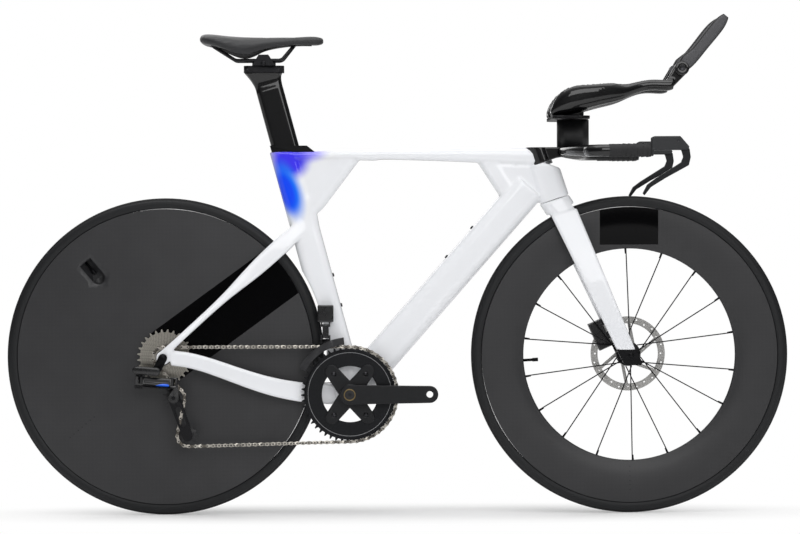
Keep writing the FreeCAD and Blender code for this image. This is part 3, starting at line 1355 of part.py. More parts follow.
RAIL_ALONG_SHARES = (0.1, 0.29, 0.66, 0.76)
RAIL_SPREAD_SHARES = (1.25, 1, 1, 0.4)
head_middle = (head_back + head_front) / 2
RAIL_SEAT_SHARE = 0.8
rail_z = dim.seatpost_top + dim.head_plate_height + dim.cradle_height * RAIL_SEAT_SHARE
shell_z = saddle_z(SADDLE_TOP_SHARES[4]) - dim.saddle_skirt * HOLLOW_ROOF_SHARE
rail_points = [
    Vector(saddle_x(along), -dim.rail_spacing / 2 * spread, z)
    for along, spread, z in zip(RAIL_ALONG_SHARES, RAIL_SPREAD_SHARES,
                                (shell_z, rail_z, rail_z, shell_z))
]
rail = tube(bent_path(rail_points, dim.rail_bend), dim.rail_radius)
rails = [rail, mirrored(rail)]
rails_cut = [item.cut(saddle_shell).cut(saddle_cover) for item in rails]
keep("saddle_rails",
     Part.makeCompound([max(item.Solids, key=lambda solid: solid.Volume) for item in rails_cut]))

# Saddle clamp: a plate on the post's head, a cradle between the rails and two outer jaws on a
# cross bolt
PLATE_ROUND_SHARE = 0.3
CRADLE_ROUND_SHARE = 0.15
plate = block(head_middle, dim.seatpost_head_length, dim.seatpost_head_width, dim.head_plate_height,
              PLATE_ROUND_SHARE)
JAW_SHARE = 0.42
jaw_inner = dim.rail_spacing / 2
jaw_outer = jaw_inner + dim.rail_radius * 2
cradle_base = head_middle + UP * dim.head_plate_height
cradle = block(cradle_base, dim.cradle_length, jaw_inner * 2, dim.cradle_height, CRADLE_ROUND_SHARE)
jaw_top = cradle_base + UP * (dim.cradle_height + dim.cradle_top_height)
jaw_half = Vector(dim.cradle_length / 2, 0, 0)
jaw = flat_outline([
    cradle_base - jaw_half,
    cradle_base + jaw_half,
    jaw_top + jaw_half * JAW_SHARE,
    jaw_top - jaw_half * JAW_SHARE,
], -jaw_outer, jaw_outer - jaw_inner)
bolt_place = Vector(head_middle.x, 0, rail_z - dim.rail_radius - dim.clamp_bolt_radius - dim.body_gap)
clamp_bolt = rod(bolt_place, ACROSS, dim.clamp_bolt_radius, -jaw_outer, jaw_outer)
BOLT_HEAD_SHARE = 1.5
heads = [rod(bolt_place, ACROSS * side, dim.clamp_bolt_radius * BOLT_HEAD_SHARE, jaw_outer,
             jaw_outer + dim.rail_radius)
         for side in (-1, 1)]
clamp_pieces = [plate]
for piece in (cradle, jaw, mirrored(jaw)):
    clamp_pieces.append(piece.cut(rails[0]).cut(rails[1]).cut(clamp_bolt))
clamp_pieces.append(fused([clamp_bolt] + heads))
keep("saddle_clamp", Part.makeCompound(clamp_pieces))


# Toothed wheels of the drive: the flanks are straight, the roots seat the chain's rollers

def pitch_radius(teeth):
    return dim.chain_pitch / 2 / math.sin(math.pi / teeth)


def toothed(centre, teeth, thickness, phase):
    """A toothed disc about an axis across the bicycle, one tooth gap at the phase angle."""
    root = pitch_radius(teeth) - dim.roller_radius - dim.tooth_root_gap
    tip = pitch_radius(teeth) + dim.tooth_height
    step = 2 * math.pi / teeth
    root_half = dim.tooth_root_flat / 2 / root
    tip_half_angle = dim.tooth_tip / 2 / tip
    points = []
    for tooth in range(teeth):
        gap = phase + tooth * step
        points.append(polar(centre, root, gap - root_half))
        points.append(polar(centre, root, gap + root_half))
        points.append(polar(centre, tip, gap + step / 2 - tip_half_angle))
        points.append(polar(centre, tip, gap + step / 2 + tip_half_angle))
    face = Part.Face(Part.makePolygon(points + [points[0]]))
    face.translate(-ACROSS * (thickness / 2))
    return face.extrude(ACROSS * thickness)


# Chain line: sprocket, large ring, tension pulley and guide pulley, with the cage swung to take
# up the slack
large_teeth = round(dim.large_ring_teeth)
small_teeth = round(dim.small_ring_teeth)
pulley_teeth = round(dim.pulley_teeth)
COG_TEETH = (11, 12, 13, 14, 15, 17, 19, 21, 23, 25, 28)
CAGE_SWING_LOW = -95
CAGE_SWING_HIGH = -55
SOLVE_STEPS = 40
STEADY_SHARE = 0.07
cog_centre = rear_axle - ACROSS * dim.small_cog_place
ring_centre = crank_axis - ACROSS * dim.large_ring_place
guide_centre = cog_centre + Vector(dim.guide_back, 0, -dim.guide_drop)


def quarter_turn(vector):
    return Vector(-vector.z, 0, vector.x)


def chain_runs(swing):
    """The straight runs and the arcs of the chain's line for one swing angle of the cage."""
    tension = polar(guide_centre, dim.cage_length, math.radians(swing))
    wheels = [
        (cog_centre, pitch_radius(COG_TEETH[0]), 1),
        (ring_centre, pitch_radius(large_teeth), 1),
        (tension, pitch_radius(pulley_teeth), 1),
        (guide_centre, pitch_radius(pulley_teeth), -1),
    ]
    lines = []
    for i, (first, first_radius, first_turn) in enumerate(wheels):
        second, second_radius, second_turn = wheels[(i + 1) % len(wheels)]
        apart = Vector(second.x - first.x, 0, second.z - first.z)
        ahead = apart / apart.Length
        sine = (second_turn * second_radius - first_turn * first_radius) / apart.Length
        run = ahead * math.sqrt(1 - sine * sine) + quarter_turn(ahead) * sine
        normal = quarter_turn(run)
        lines.append((first + normal * (first_turn * first_radius),
                      second + normal * (second_turn * second_radius)))
    runs = []
    for i, (start, end) in enumerate(lines):
        runs.append(("line", start, end, (end - start).Length))
        centre, radius, turn = wheels[(i + 1) % len(wheels)]
        leave = lines[(i + 1) % len(lines)][0]
        first_angle = math.atan2(end.z - centre.z, end.x - centre.x)
        last_angle = math.atan2(leave.z - centre.z, leave.x - centre.x)
        sweep = (first_angle - last_angle) * turn % (2 * math.pi)
        runs.append(("arc", centre, (radius, first_angle, -turn), sweep * radius))
    return runs


def on_chain(runs, distance):
    """The point of the chain's line at a distance along it."""
    for kind, first, second, length in runs:
        if distance <= length:
            break
        distance -= length
    if kind == "line":
        share = distance / length
        steady = min(max((share - STEADY_SHARE) / (1 - 2 * STEADY_SHARE), 0), 1)
        shift = (second.y - first.y) * (steady * steady * (3 - 2 * steady) - share)
        return first + (second - first) * share + ACROSS * shift
    radius, angle, turn = second
    return polar(first, radius, angle + turn * distance / radius)


def total_length(runs):
    return sum(run[3] for run in runs)


def pin_places(runs, count):
    """Distances of the pins along the line, one chain pitch apart in a straight measure."""
    total = total_length(runs)
    places = [0]
    for pin in range(count):
        start = on_chain(runs, places[-1] % total)
        low = places[-1] + dim.chain_pitch
        high = low + dim.chain_pitch / 4
        for step in range(SOLVE_STEPS):
            middle = (low + high) / 2
            if (on_chain(runs, middle % total) - start).Length < dim.chain_pitch:
                low = middle
            else:
                high = middle
        places.append(low)
    return places


def slack(swing, count):
    runs = chain_runs(swing)
    return total_length(runs) - pin_places(runs, count)[-1]


middle_swing = (CAGE_SWING_LOW + CAGE_SWING_HIGH) / 2
LINK_COUNT = 2 * round(total_length(chain_runs(middle_swing)) / dim.chain_pitch / 2)
low_swing, high_swing = CAGE_SWING_LOW, CAGE_SWING_HIGH
rising = slack(high_swing, LINK_COUNT) > slack(low_swing, LINK_COUNT)
for step in range(SOLVE_STEPS // 2):
    cage_swing = (low_swing + high_swing) / 2
    if (slack(cage_swing, LINK_COUNT) > 0) == rising:
        high_swing = cage_swing
    else:
        low_swing = cage_swing
runs = chain_runs(cage_swing)
tension_centre = polar(guide_centre, dim.cage_length, math.radians(cage_swing))
pins = [on_chain(runs, place % total_length(runs)) for place in pin_places(runs, LINK_COUNT)[:-1]]
print("chain links", LINK_COUNT, "slack", round(slack(cage_swing, LINK_COUNT), 3))
print("cage swing", round(cage_swing, 2), "tension pulley", tension_centre)


def seated_phase(centre, teeth):
    """The angle of a pin that rests in the middle of a wheel's wrapped arc."""
    radius = pitch_radius(teeth)
    seated = [pin for pin in pins if abs(Vector(pin.x - centre.x, 0,
                                                pin.z - centre.z).Length - radius) < dim.running_gap
              and abs(pin.y - centre.y) < dim.body_gap]
    pin = seated[len(seated) // 2]
    return math.atan2(pin.z - centre.z, pin.x - centre.x)


# Chain: alternate inner links with rollers and outer links, each pair of plates a body of its own
PLATE_END_SHARE = 0.45
PLATE_WAIST_SHARE = 0.6
ROLLER_SIDES = 6
inner_face = dim.roller_width / 2
outer_face = inner_face + dim.link_plate + dim.link_plate_gap


def link_plate(start, end, lateral, near, far):
    """One link plate between two pins, from one place to another along the chain's pins."""
    along = end - start
    along = along / along.Length
    rise = lateral.cross(along)
    tall = rise * (dim.link_height / 2)
    reach = along * (dim.link_height * PLATE_END_SHARE)
    middle = (start + end) / 2
    waist = tall * PLATE_WAIST_SHARE
    points = [start - reach, start - tall, middle - waist, end - tall]
    points += [end + reach, end + tall, middle + waist, start + tall]
    face = Part.Face(Part.makePolygon(points + [points[0]]))
    face.translate(lateral * near)
    return face.extrude(lateral * (far - near))


def roller(pin, lateral, along):
    rise = lateral.cross(along)
    points = []
    for side in range(ROLLER_SIDES):
        angle = 2 * math.pi * side / ROLLER_SIDES
        reach = along * math.cos(angle) + rise * math.sin(angle)
        points.append(pin + reach * dim.roller_radius)
    face = Part.Face(Part.makePolygon(points + [points[0]]))
    face.translate(-lateral * inner_face)
    return face.extrude(lateral * (2 * inner_face))


links = []
for i, start in enumerate(pins):
    end = pins[(i + 1) % len(pins)]
    along = (end - start) / (end - start).Length
    lateral = ACROSS - along * along.y
    lateral = lateral / lateral.Length
    near = inner_face if i % 2 == 0 else outer_face
    for side in (-1, 1):
        links.append(link_plate(start, end, lateral * side, near, near + dim.link_plate))
    if i % 2 == 0:
        links.append(roller(start, lateral, along))
        links.append(roller(end, lateral, along))
keep("chain", Part.makeCompound(links))

# Cassette: eleven sprockets on thin spacers, and the freehub body that carries them
SPACER_SHARE = 1.05
cogs = []
for i, teeth in enumerate(COG_TEETH):
    centre = cog_centre + ACROSS * (dim.cassette_pitch * i)
    phase = seated_phase(cog_centre, teeth) if i == 0 else 0
    cogs.append(toothed(centre, teeth, dim.sprocket_thickness, phase))
cassette_depth = dim.cassette_pitch * (len(COG_TEETH) - 1)
cogs.append(rod(cog_centre, ACROSS, dim.freehub_radius * SPACER_SHARE, 0, cassette_depth))
cassette_bore = rod(cog_centre, ACROSS, dim.freehub_radius, -dim.overrun, cassette_depth + dim.overrun)
keep("cassette_sprockets", fused(cogs).cut(cassette_bore))
freehub_body = turned("freehub_body", [
    ("axle_radius + running_gap", "-(rear_hub_width / 2 - body_gap)"),
    ("hub_cap_radius", "-(rear_hub_width / 2 - body_gap)"),
    ("hub_cap_radius", "-(small_cog_place + sprocket_thickness / 2 + cassette_lockring_length)"),
    ("freehub_radius", "-(small_cog_place + sprocket_thickness / 2 + cassette_lockring_length)"),
    ("freehub_radius", "-(rear_core_right + rotor_shoulder)"),
    ("rear_neck_radius + rotor_shoulder", "-(rear_core_right + rotor_shoulder)"),
    ("rear_neck_radius + rotor_shoulder", "-(rear_core_right + body_gap)"),
    ("axle_radius + running_gap", "-(rear_core_right + body_gap)"),
], REAR_X, AXLE_Z)
SUBPARTS.append(freehub_body)

# Chainrings on a four-armed spider: a wide outer ring, a narrow inner ring and four bolts
spider_angles = [math.radians(angle) for angle in (
    dim.spider_angle, 180 - dim.spider_angle, 180 + dim.spider_angle, -dim.spider_angle)]
bolt_circle = dim.ring_bolt_circle / 2
bolt_points = [polar(crank_axis, bolt_circle, angle) for angle in spider_angles]
half_ring = dim.ring_thickness / 2
TAB_SHARE = 2
ring_bolts = []
BOLT_FLANGE_SHARE = 1.45
spider_face = -dim.large_ring_place - half_ring - dim.spider_thickness
bolt_end = -dim.small_ring_place + half_ring
for point in bolt_points:
    shank = rod(point, ACROSS, dim.ring_bolt_radius, spider_face, bolt_end)
    spacer = rod(point, ACROSS, dim.ring_bolt_radius * BOLT_FLANGE_SHARE,
                 -dim.large_ring_place + half_ring,
                 -dim.small_ring_place - half_ring)
    cap = rod(point, ACROSS, dim.ring_bolt_radius * BOLT_FLANGE_SHARE, bolt_end,
              bolt_end + dim.bottom_cup_lip)
    ring_bolts.append(fused([shank, spacer, cap]))
keep("chainring_bolts", Part.makeCompound(ring_bolts))


def chainring(label, teeth, place, wall, phase):
    """A ring with a tab at each spider arm, drilled for the bolts."""
    centre = crank_axis - ACROSS * place
    inner = pitch_radius(teeth) - wall
    ring = toothed(centre, teeth, dim.tooth_thickness, phase)
    root = pitch_radius(teeth) - dim.roller_radius - dim.link_height / 2
    ring = ring.fuse(rod(centre, ACROSS, root, -half_ring, half_ring))
    ring = ring.cut(rod(centre, ACROSS, inner, -half_ring - dim.overrun, half_ring + dim.overrun))
    tab = dim.ring_bolt_radius * TAB_SHARE
    tab_end = inner + wall / 2 - tab
    tabs = [
        rounded_bar(point, polar(crank_axis, tab_end, angle), tab, tab, -place - half_ring,
                    dim.ring_thickness)
        for point, angle in zip(bolt_points, spider_angles)
    ]
    ring = fused([ring] + tabs)
    for point in bolt_points:
        ring = ring.cut(rod(point, ACROSS, dim.ring_bolt_radius, -dim.rear_hub_width, 0))
    keep(label, ring)


chainring("large_chainring", large_teeth, dim.large_ring_place, dim.large_ring_wall,
          seated_phase(ring_centre, large_teeth))
chainring("small_chainring", small_teeth, dim.small_ring_place, dim.small_ring_wall, 0)

# Cranks: the right one carries the spider, and both are clamped on the ends of a plain spindle
boss_start = bottom_half + dim.bottom_cup_lip + dim.body_gap
crank_outer = dim.crank_inner_place + dim.crank_thickness
right_pedal = crank_axis + forward * dim.crank_length
left_pedal = crank_axis - forward * dim.crank_length
spindle = rod(crank_axis, ACROSS, dim.spindle_radius, -crank_outer + dim.overrun, crank_outer)
arms = [
    rounded_bar(crank_axis, polar(crank_axis, dim.spider_reach, angle),
                dim.spider_arm_width / 2 * TAB_SHARE / BOLT_FLANGE_SHARE,
                dim.spider_arm_width / 2, spider_face, dim.spider_thickness)
    for angle in spider_angles
]
right_crank = fused([
    rounded_bar(crank_axis, right_pedal, dim.crank_root_radius, dim.crank_tip_radius, -crank_outer,
                dim.crank_thickness),
    rod(crank_axis, -ACROSS, dim.crank_root_radius, boss_start, crank_outer),
] + arms).cut(spindle)
for point in bolt_points:
    right_crank = right_crank.cut(rod(point, ACROSS, dim.ring_bolt_radius, -dim.rear_hub_width, 0))
pedal_bore = dim.crank_inner_place - dim.overrun
pedal_bore_end = crank_outer + dim.overrun
right_crank = right_crank.cut(rod(right_pedal, -ACROSS, dim.pedal_hole_radius, pedal_bore,
                                  pedal_bore_end))
keep("right_crank", right_crank)
keep("crank_spindle", spindle)
left_crank = rounded_bar(crank_axis, left_pedal, dim.crank_root_radius, dim.crank_tip_radius,
                         dim.crank_inner_place,
                         dim.crank_thickness)
left_crank = left_crank.fuse(rod(crank_axis, ACROSS, dim.crank_root_radius, boss_start,
                                 crank_outer)).cut(spindle)
left_crank = left_crank.cut(rod(left_pedal, ACROSS, dim.pedal_hole_radius, pedal_bore, pedal_bore_end))
keep("left_crank", left_crank)

# Rear derailleur pulleys, turning on the bolts of the cage
PULLEY_SHARE = 2.2
for label, centre in (("guide_pulley", guide_centre), ("tension_pulley", tension_centre)):
    pulley = toothed(centre, pulley_teeth, dim.tooth_thickness, seated_phase(centre, pulley_teeth))
    hub_half = dim.cage_gap / 2 - dim.body_gap
    pulley = pulley.fuse(rod(centre, ACROSS, dim.pulley_bolt_radius * PULLEY_SHARE, -hub_half,
                             hub_half))
    keep(label,
         pulley.cut(rod(centre, ACROSS, dim.pulley_bolt_radius + dim.running_gap, -dim.cage_gap,
                        dim.cage_gap)))

# Cage: two plates with bolts through both pulleys and a pivot into the lower knuckle
cage_half = dim.cage_gap / 2
cage_outer = cage_half + dim.cage_plate
CAGE_PIVOT_SHARE = 1.35
CAGE_TIP_SHARE = 0.85
WINDOW_START_SHARE = 0.32
WINDOW_END_SHARE = 0.68
WINDOW_RADIUS_SHARE = 0.5
guide_flat = guide_centre - ACROSS * guide_centre.y
tension_flat = tension_centre - ACROSS * tension_centre.y
window = rounded_bar(
    between(guide_flat, tension_flat, WINDOW_START_SHARE), between(guide_flat, tension_flat,
                                                                   WINDOW_END_SHARE),
    dim.cage_radius * WINDOW_RADIUS_SHARE, dim.cage_radius * WINDOW_RADIUS_SHARE,
    guide_centre.y - cage_outer * 2, cage_outer * 4)
cage_pieces = []
for near in (-cage_outer, cage_half):
    cage_pieces.append(rounded_bar(guide_flat, tension_flat, dim.cage_radius,
                                   dim.cage_radius * CAGE_TIP_SHARE,
                                   guide_centre.y + near, dim.cage_plate).cut(window))
for centre in (guide_centre, tension_centre):
    cage_pieces.append(rod(centre, ACROSS, dim.pulley_bolt_radius, -cage_outer, cage_outer))
pivot_radius = dim.pulley_bolt_radius * CAGE_PIVOT_SHARE
cage_pieces.append(rod(guide_centre, -ACROSS, pivot_radius, cage_half,
                       cage_outer + dim.mount_bolt_length))
keep("rear_derailleur_cage", fused(cage_pieces))


# Shifting linkage: two parallel links between an upper knuckle on the hanger and a lower knuckle

def beam(origin, axes, low, high):
    """A block along three given axes, between two corners measured from an origin."""
    first, second, third = axes
    corner = origin + first * low[0] + second * low[1] + third * low[2]
    length, width, height = (b - a for a, b in zip(low, high))
    outline = Part.makePolygon([
        corner,
        corner + first * length,
        corner + first * length + second * width,
        corner + second * width,
        corner,
    ])
    return Part.Face(outline).extrude(third * height)


LINK_LEAN_SHARES = (0.985, 0.15, -0.08)
PIN_LEAN_SHARES = (0, 0.42, 0.907)
link_along = Vector(*LINK_LEAN_SHARES)
link_along = link_along / link_along.Length
pin_up = Vector(*PIN_LEAN_SHARES)
pin_up = pin_up - link_along * pin_up.dot(link_along)
pin_up = pin_up / pin_up.Length
link_across = pin_up.cross(link_along)
link_axes = (link_along, link_across, pin_up)
KNUCKLE_BACK_SHARE = 0.53
KNUCKLE_OUT_SHARE = 0.56
KNUCKLE_DROP_SHARE = 0.63
upper_outer = rear_axle + Vector(-dim.link_length * (1 - KNUCKLE_BACK_SHARE) - dim.hanger_back, 0, 0)
upper_outer = upper_outer + Vector(0, -dim.rear_hub_width / 2 - dim.hanger_back * 2 + dim.running_gap,
                                   0)
knuckle_drop = dim.guide_drop * (1 - KNUCKLE_DROP_SHARE) + dim.hanger_drop * KNUCKLE_OUT_SHARE
upper_outer = upper_outer - UP * knuckle_drop
upper_inner = upper_outer + link_across * dim.link_spacing
lower_outer = upper_outer + link_along * dim.link_length
lower_inner = upper_inner + link_along * dim.link_length
link_half = dim.link_width / 2
link_tall = dim.link_depth / 2
wall_start = link_tall + dim.body_gap
wall_end = wall_start + dim.knuckle_wall


LINK_THIN_SHARE = 0.75


def shift_link(label, upper, lower):
    """A flat link with a bored boss at both ends."""
    bar = beam(upper, link_axes, (0, -link_half * LINK_THIN_SHARE, -link_tall),
               (dim.link_length, link_half * LINK_THIN_SHARE, link_tall))
    ends = [rod(place, pin_up, link_half, -link_tall, link_tall) for place in (upper, lower)]
    bores = [rod(place, pin_up, dim.link_pin_radius + dim.running_gap, -wall_end,
                 wall_end) for place in (upper, lower)]
    keep(label, fused([bar] + ends).cut(bores[0]).cut(bores[1]))


shift_link("rear_derailleur_outer_link", upper_outer, lower_outer)
shift_link("rear_derailleur_inner_link", upper_inner, lower_inner)


def knuckle(outer, inner, side):
    """Two walls, a web beyond the pins and the two pins, behind the links at side -1, ahead at 1."""
    near = side * dim.knuckle_radius
    far = side * (dim.knuckle_radius + dim.knuckle_web)
    wall = (min(-side * link_half, far), max(-side * link_half, far))
    web = (min(near, far), max(near, far))
    low = -link_half
    high = dim.link_spacing + link_half
    return fused([
        beam(outer, link_axes, (wall[0], low, wall_start), (wall[1], high, wall_end)),
        beam(outer, link_axes, (wall[0], low, -wall_end), (wall[1], high, -wall_start)),
        beam(outer, link_axes, (web[0], low, -wall_end), (web[1], high, wall_end)),
        rod(outer, pin_up, dim.link_pin_radius, -wall_end, wall_end),
        rod(inner, pin_up, dim.link_pin_radius, -wall_end, wall_end),
    ])


# Hanger on the dropout and the upper knuckle bolted to it
hanger_point = rear_axle - Vector(dim.hanger_back, 0, dim.hanger_drop)
hanger_face = -dim.rear_hub_width / 2 - dim.dropout_thickness
hanger = rounded_bar(rear_axle, hanger_point, dim.axle_head_radius, dim.hanger_radius,
                     hanger_face - dim.hanger_thickness, dim.hanger_thickness)
keep("derailleur_hanger", hanger)
mount_face = hanger_face - dim.hanger_thickness
upper_web = upper_outer - link_along * (dim.knuckle_radius + dim.knuckle_web / 2)
mount_end = Vector(upper_web.x, 0, hanger_point.z + dim.knuckle_wall)
mount_arm = rounded_bar(hanger_point, mount_end, dim.hanger_radius, dim.hanger_radius,
                        mount_face - dim.mount_bolt_length, dim.mount_bolt_length)
mount_web = beam(upper_outer, link_axes, (-dim.knuckle_radius - dim.knuckle_web, -link_half, 0),
                 (-dim.knuckle_radius, dim.link_spacing, dim.hanger_drop))
mount_web = mount_web.common(Part.makeBox(
    dim.link_length, dim.link_length, mount_end.z - upper_outer.z + dim.link_length,
    Vector(upper_web.x - dim.link_length / 2, mount_face - dim.link_length,
           upper_outer.z - dim.link_length)))
keep("rear_derailleur_mount", fused([knuckle(upper_outer, upper_inner, -1), mount_arm, mount_web]))

# Lower knuckle: carries the cage on its pivot, in line with the guide pulley
boss_near = cage_outer + dim.body_gap
boss_far = cage_outer + dim.mount_bolt_length
lower_web = lower_outer + link_along * (dim.knuckle_radius + dim.knuckle_web / 2)
lower_web_flat = Vector(lower_web.x, 0, lower_web.z - dim.link_depth / 2)
knuckle_arm = rounded_bar(guide_flat, lower_web_flat, dim.cage_boss_radius, dim.knuckle_web / 2,
                          guide_centre.y - boss_far, boss_far - boss_near)
boss_bore = rod(guide_centre, -ACROSS, pivot_radius + dim.running_gap, 0, boss_far + dim.overrun)
links_room = beam(lower_outer, link_axes, (-dim.link_length, -dim.link_length, -wall_start),
                  (dim.knuckle_radius, dim.link_length, wall_start))
knuckle_arm = knuckle_arm.cut(links_room).cut(boss_bore)
knuckle_arm = max(knuckle_arm.Solids, key=lambda solid: solid.Volume)
lower_knuckle = knuckle(lower_outer, lower_inner, 1).cut(
    rod(guide_centre, -ACROSS, dim.cage_radius + dim.body_gap, 0, boss_near))
keep("rear_derailleur_knuckle", lower_knuckle.fuse(knuckle_arm))

# Front derailleur: a motor block on the seat tube, a swinging link and a cage round the top of the ring
motor_low = crank_axis + Vector(-dim.motor_back - dim.motor_length / 2, 0,
                                dim.motor_rise - dim.motor_height / 2)
motor_right = -dim.shift_arm_place - dim.overrun
motor = Part.makeBox(dim.motor_length, dim.motor_width + dim.overrun, dim.motor_height,
                     motor_low + ACROSS * motor_right)
arm_pin = motor_low + Vector(dim.motor_length / 2, -dim.shift_arm_place, -dim.knuckle_radius)
arm_end = arm_pin - UP * dim.shift_arm_length
MOTOR_ARM_SHARE = 0.2
arm_half = dim.motor_length * MOTOR_ARM_SHARE
ear_start = arm_half + dim.body_gap
ear_end = ear_start + dim.knuckle_wall
cross_axes = (forward, ACROSS, UP)
ears = []
for low in (-ear_end, ear_start):
    ears.append(beam(arm_pin, cross_axes, (low, -link_half, -link_half),
                     (low + dim.knuckle_wall, link_half, dim.knuckle_radius)))
arm_pivot = rod(arm_pin, forward, dim.link_pin_radius, -ear_end, ear_end)
derailleur_body = fused([motor, arm_pivot] + ears).cut(main_frame)
keep("front_derailleur_body", max(derailleur_body.Solids, key=lambda solid: solid.Volume))
SLIM_SHARE = 0.7
shift_arm = beam(arm_end, cross_axes, (-arm_half, -link_half * SLIM_SHARE, 0),
                 (arm_half, link_half * SLIM_SHARE, dim.shift_arm_length))
for place in (arm_pin, arm_end):
    shift_arm = shift_arm.fuse(rod(place, forward, link_half * SLIM_SHARE, -arm_half, arm_half))
for place in (arm_pin, arm_end):
    shift_arm = shift_arm.cut(rod(place, forward, dim.link_pin_radius + dim.running_gap, -ear_end,
                                  ear_end))
keep("front_derailleur_link", shift_arm)

GUIDE_FIRST = 96
GUIDE_LAST = 152
BRIDGE_FIRST = 97
BRIDGE_LAST = 107
TAIL_FIRST = 149
guide_inner = pitch_radius(large_teeth) + dim.tooth_height + dim.cage_guide_clearance
guide_outer = guide_inner + dim.cage_guide_height


def arc_plate(inner, outer, first, last, y, thickness):
    """A curved plate about the crank axis between two radii and two angles."""
    first = math.radians(first)
    last = math.radians(last)
    middle = (first + last) / 2
    return flat_outline([
        polar(crank_axis, inner, first),
        ("arc", polar(crank_axis, inner, middle), polar(crank_axis, inner, last)),
        polar(crank_axis, outer, last),
        ("arc", polar(crank_axis, outer, middle), polar(crank_axis, outer, first)),
    ], y, thickness)


guide_half = dim.cage_guide_gap / 2
ring_y = -dim.large_ring_place - dim.cage_guide_plate
guide_width = dim.cage_guide_gap + dim.cage_guide_plate * 2
guide_right = ring_y - guide_width / 2
guide_left = ring_y + guide_half
guide_pieces = [
    arc_plate(guide_inner, guide_outer, GUIDE_FIRST, GUIDE_LAST, guide_left, dim.cage_guide_plate),
    arc_plate(guide_inner, guide_outer, GUIDE_FIRST, GUIDE_LAST, guide_right, dim.cage_guide_plate),
    arc_plate(guide_outer - dim.cage_guide_plate, guide_outer, BRIDGE_FIRST, BRIDGE_LAST, guide_right,
              guide_width),
    arc_plate(guide_inner, guide_inner + dim.cage_guide_plate, TAIL_FIRST, GUIDE_LAST, guide_right,
              guide_width),
    rod(arm_end, forward, dim.link_pin_radius, -ear_end, ear_end),
]
EAR_DROP_SHARE = 0.55
for low in (-ear_end, ear_start):
    guide_pieces.append(beam(arm_end, cross_axes,
                             (low, -link_half, -dim.shift_arm_length * EAR_DROP_SHARE),
                             (low + dim.knuckle_wall, link_half, link_half)))
web_left = guide_left - arm_end.y
guide_pieces.append(beam(arm_end, cross_axes, (-ear_end, web_left, -dim.shift_arm_length),
                         (ear_end, web_left + dim.cage_guide_plate, -link_half)))
keep("front_derailleur_cage", fused(guide_pieces))


# Disc brake calipers with a pad on each side of the rotor

def caliper(axle, place, angle, lean, foot_side):
    """A caliper over a rotor: its middle at an angle about the axle, leaning along the frame member."""
    along = Vector(math.cos(math.radians(lean)), 0, math.sin(math.radians(lean)))
    outward = quarter_turn(along) * foot_side
    middle = polar(axle, dim.rotor_radius - dim.rotor_track / 2, math.radians(angle)) + ACROSS * place
    axes = (along, ACROSS, outward)
    half = (dim.caliper_length / 2, dim.caliper_width / 2, dim.caliper_height / 2)
    body = beam(middle, axes, (-half[0], -half[1], -half[2]), half)
    foot = beam(middle, axes, (-half[0], 0, 0), (half[0], half[1], dim.caliper_height))
    slot_half_width = dim.caliper_slot / 2
    slot = rod(axle + ACROSS * place, ACROSS, dim.rotor_radius + dim.overrun, -slot_half_width,
               slot_half_width)
    pads = []
    pad_near = dim.rotor_thickness / 2 + dim.pad_gap
    for side in (-1, 1):
        first, last = sorted((side * pad_near, side * slot_half_width))
        pads.append(beam(middle, axes, (-dim.pad_length / 2, first, -dim.pad_height / 2),
                         (dim.pad_length / 2, last, dim.pad_height / 2)))
    return fused([body, foot]).cut(slot), pads


front_rotor_place = dim.front_hub_width / 2 - dim.front_rotor_inset
rear_rotor_place = dim.rear_hub_width / 2 - dim.rear_rotor_inset
FRONT_CALIPER_ANGLE = 146
FRONT_CALIPER_LEAN = 114
REAR_CALIPER_ANGLE = 24
REAR_CALIPER_LEAN = -12
body, pads = caliper(front_axle, front_rotor_place, FRONT_CALIPER_ANGLE, FRONT_CALIPER_LEAN, -1)
body = max(body.cut(fork).Solids, key=lambda solid: solid.Volume)
keep("front_caliper", Part.makeCompound([body] + pads))
body, pads = caliper(rear_axle, rear_rotor_place, REAR_CALIPER_ANGLE, REAR_CALIPER_LEAN, -1)
body = max(body.cut(left_stay).Solids, key=lambda solid: solid.Volume)
keep("rear_caliper", Part.makeCompound([body] + pads))

# Bottle cage bolts: two on the seat tube and two on the down tube
SEAT_BOLT_SHARES = (0.35, 0.475)
DOWN_BOLT_SHARES = (0.56, 0.69)
down_join = on_steer_axis(dim.down_tube_join)
down_run = down_join - crank_axis
down_normal = quarter_turn(down_run / down_run.Length)
bolts = []
for share in SEAT_BOLT_SHARES:
    seat = between(crank_axis, seat_top_point, share) + seat_out * (dim.seat_tube_depth / 2)
    bolts.append(rod(seat, seat_out, dim.bottle_bolt_radius, -dim.overrun, dim.bottle_bolt_height))
for share in DOWN_BOLT_SHARES:
    seat = between(crank_axis, down_join, share) + down_normal * (dim.down_tube_depth / 2)
    bolts.append(rod(seat, down_normal, dim.bottle_bolt_radius, -dim.overrun, dim.bottle_bolt_height))
keep("bottle_cage_bolts", Part.makeCompound([bolt.cut(main_frame) for bolt in bolts]))

# Checks of every object, then one file for each sub-part
doc.recompute()
for item in doc.Objects:
    if "Invalid" in item.State or "Error" in item.State:
        raise RuntimeError(f"{item.Label} did not build: {item.State}")
os.makedirs("parts", exist_ok=True)
for item in SUBPARTS:
    if item.Shape.isNull() or not item.Shape.isValid() or not item.Shape.Solids:
        raise RuntimeError(f"{item.Label} has no sound shape")
    item.Shape.exportStep(f"parts/{item.Label}.step")
print("sub-parts", len(SUBPARTS))
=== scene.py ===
import json
import math

import bmesh
import bpy
from mathutils import Matrix, Vector
from mathutils.bvhtree import BVHTree


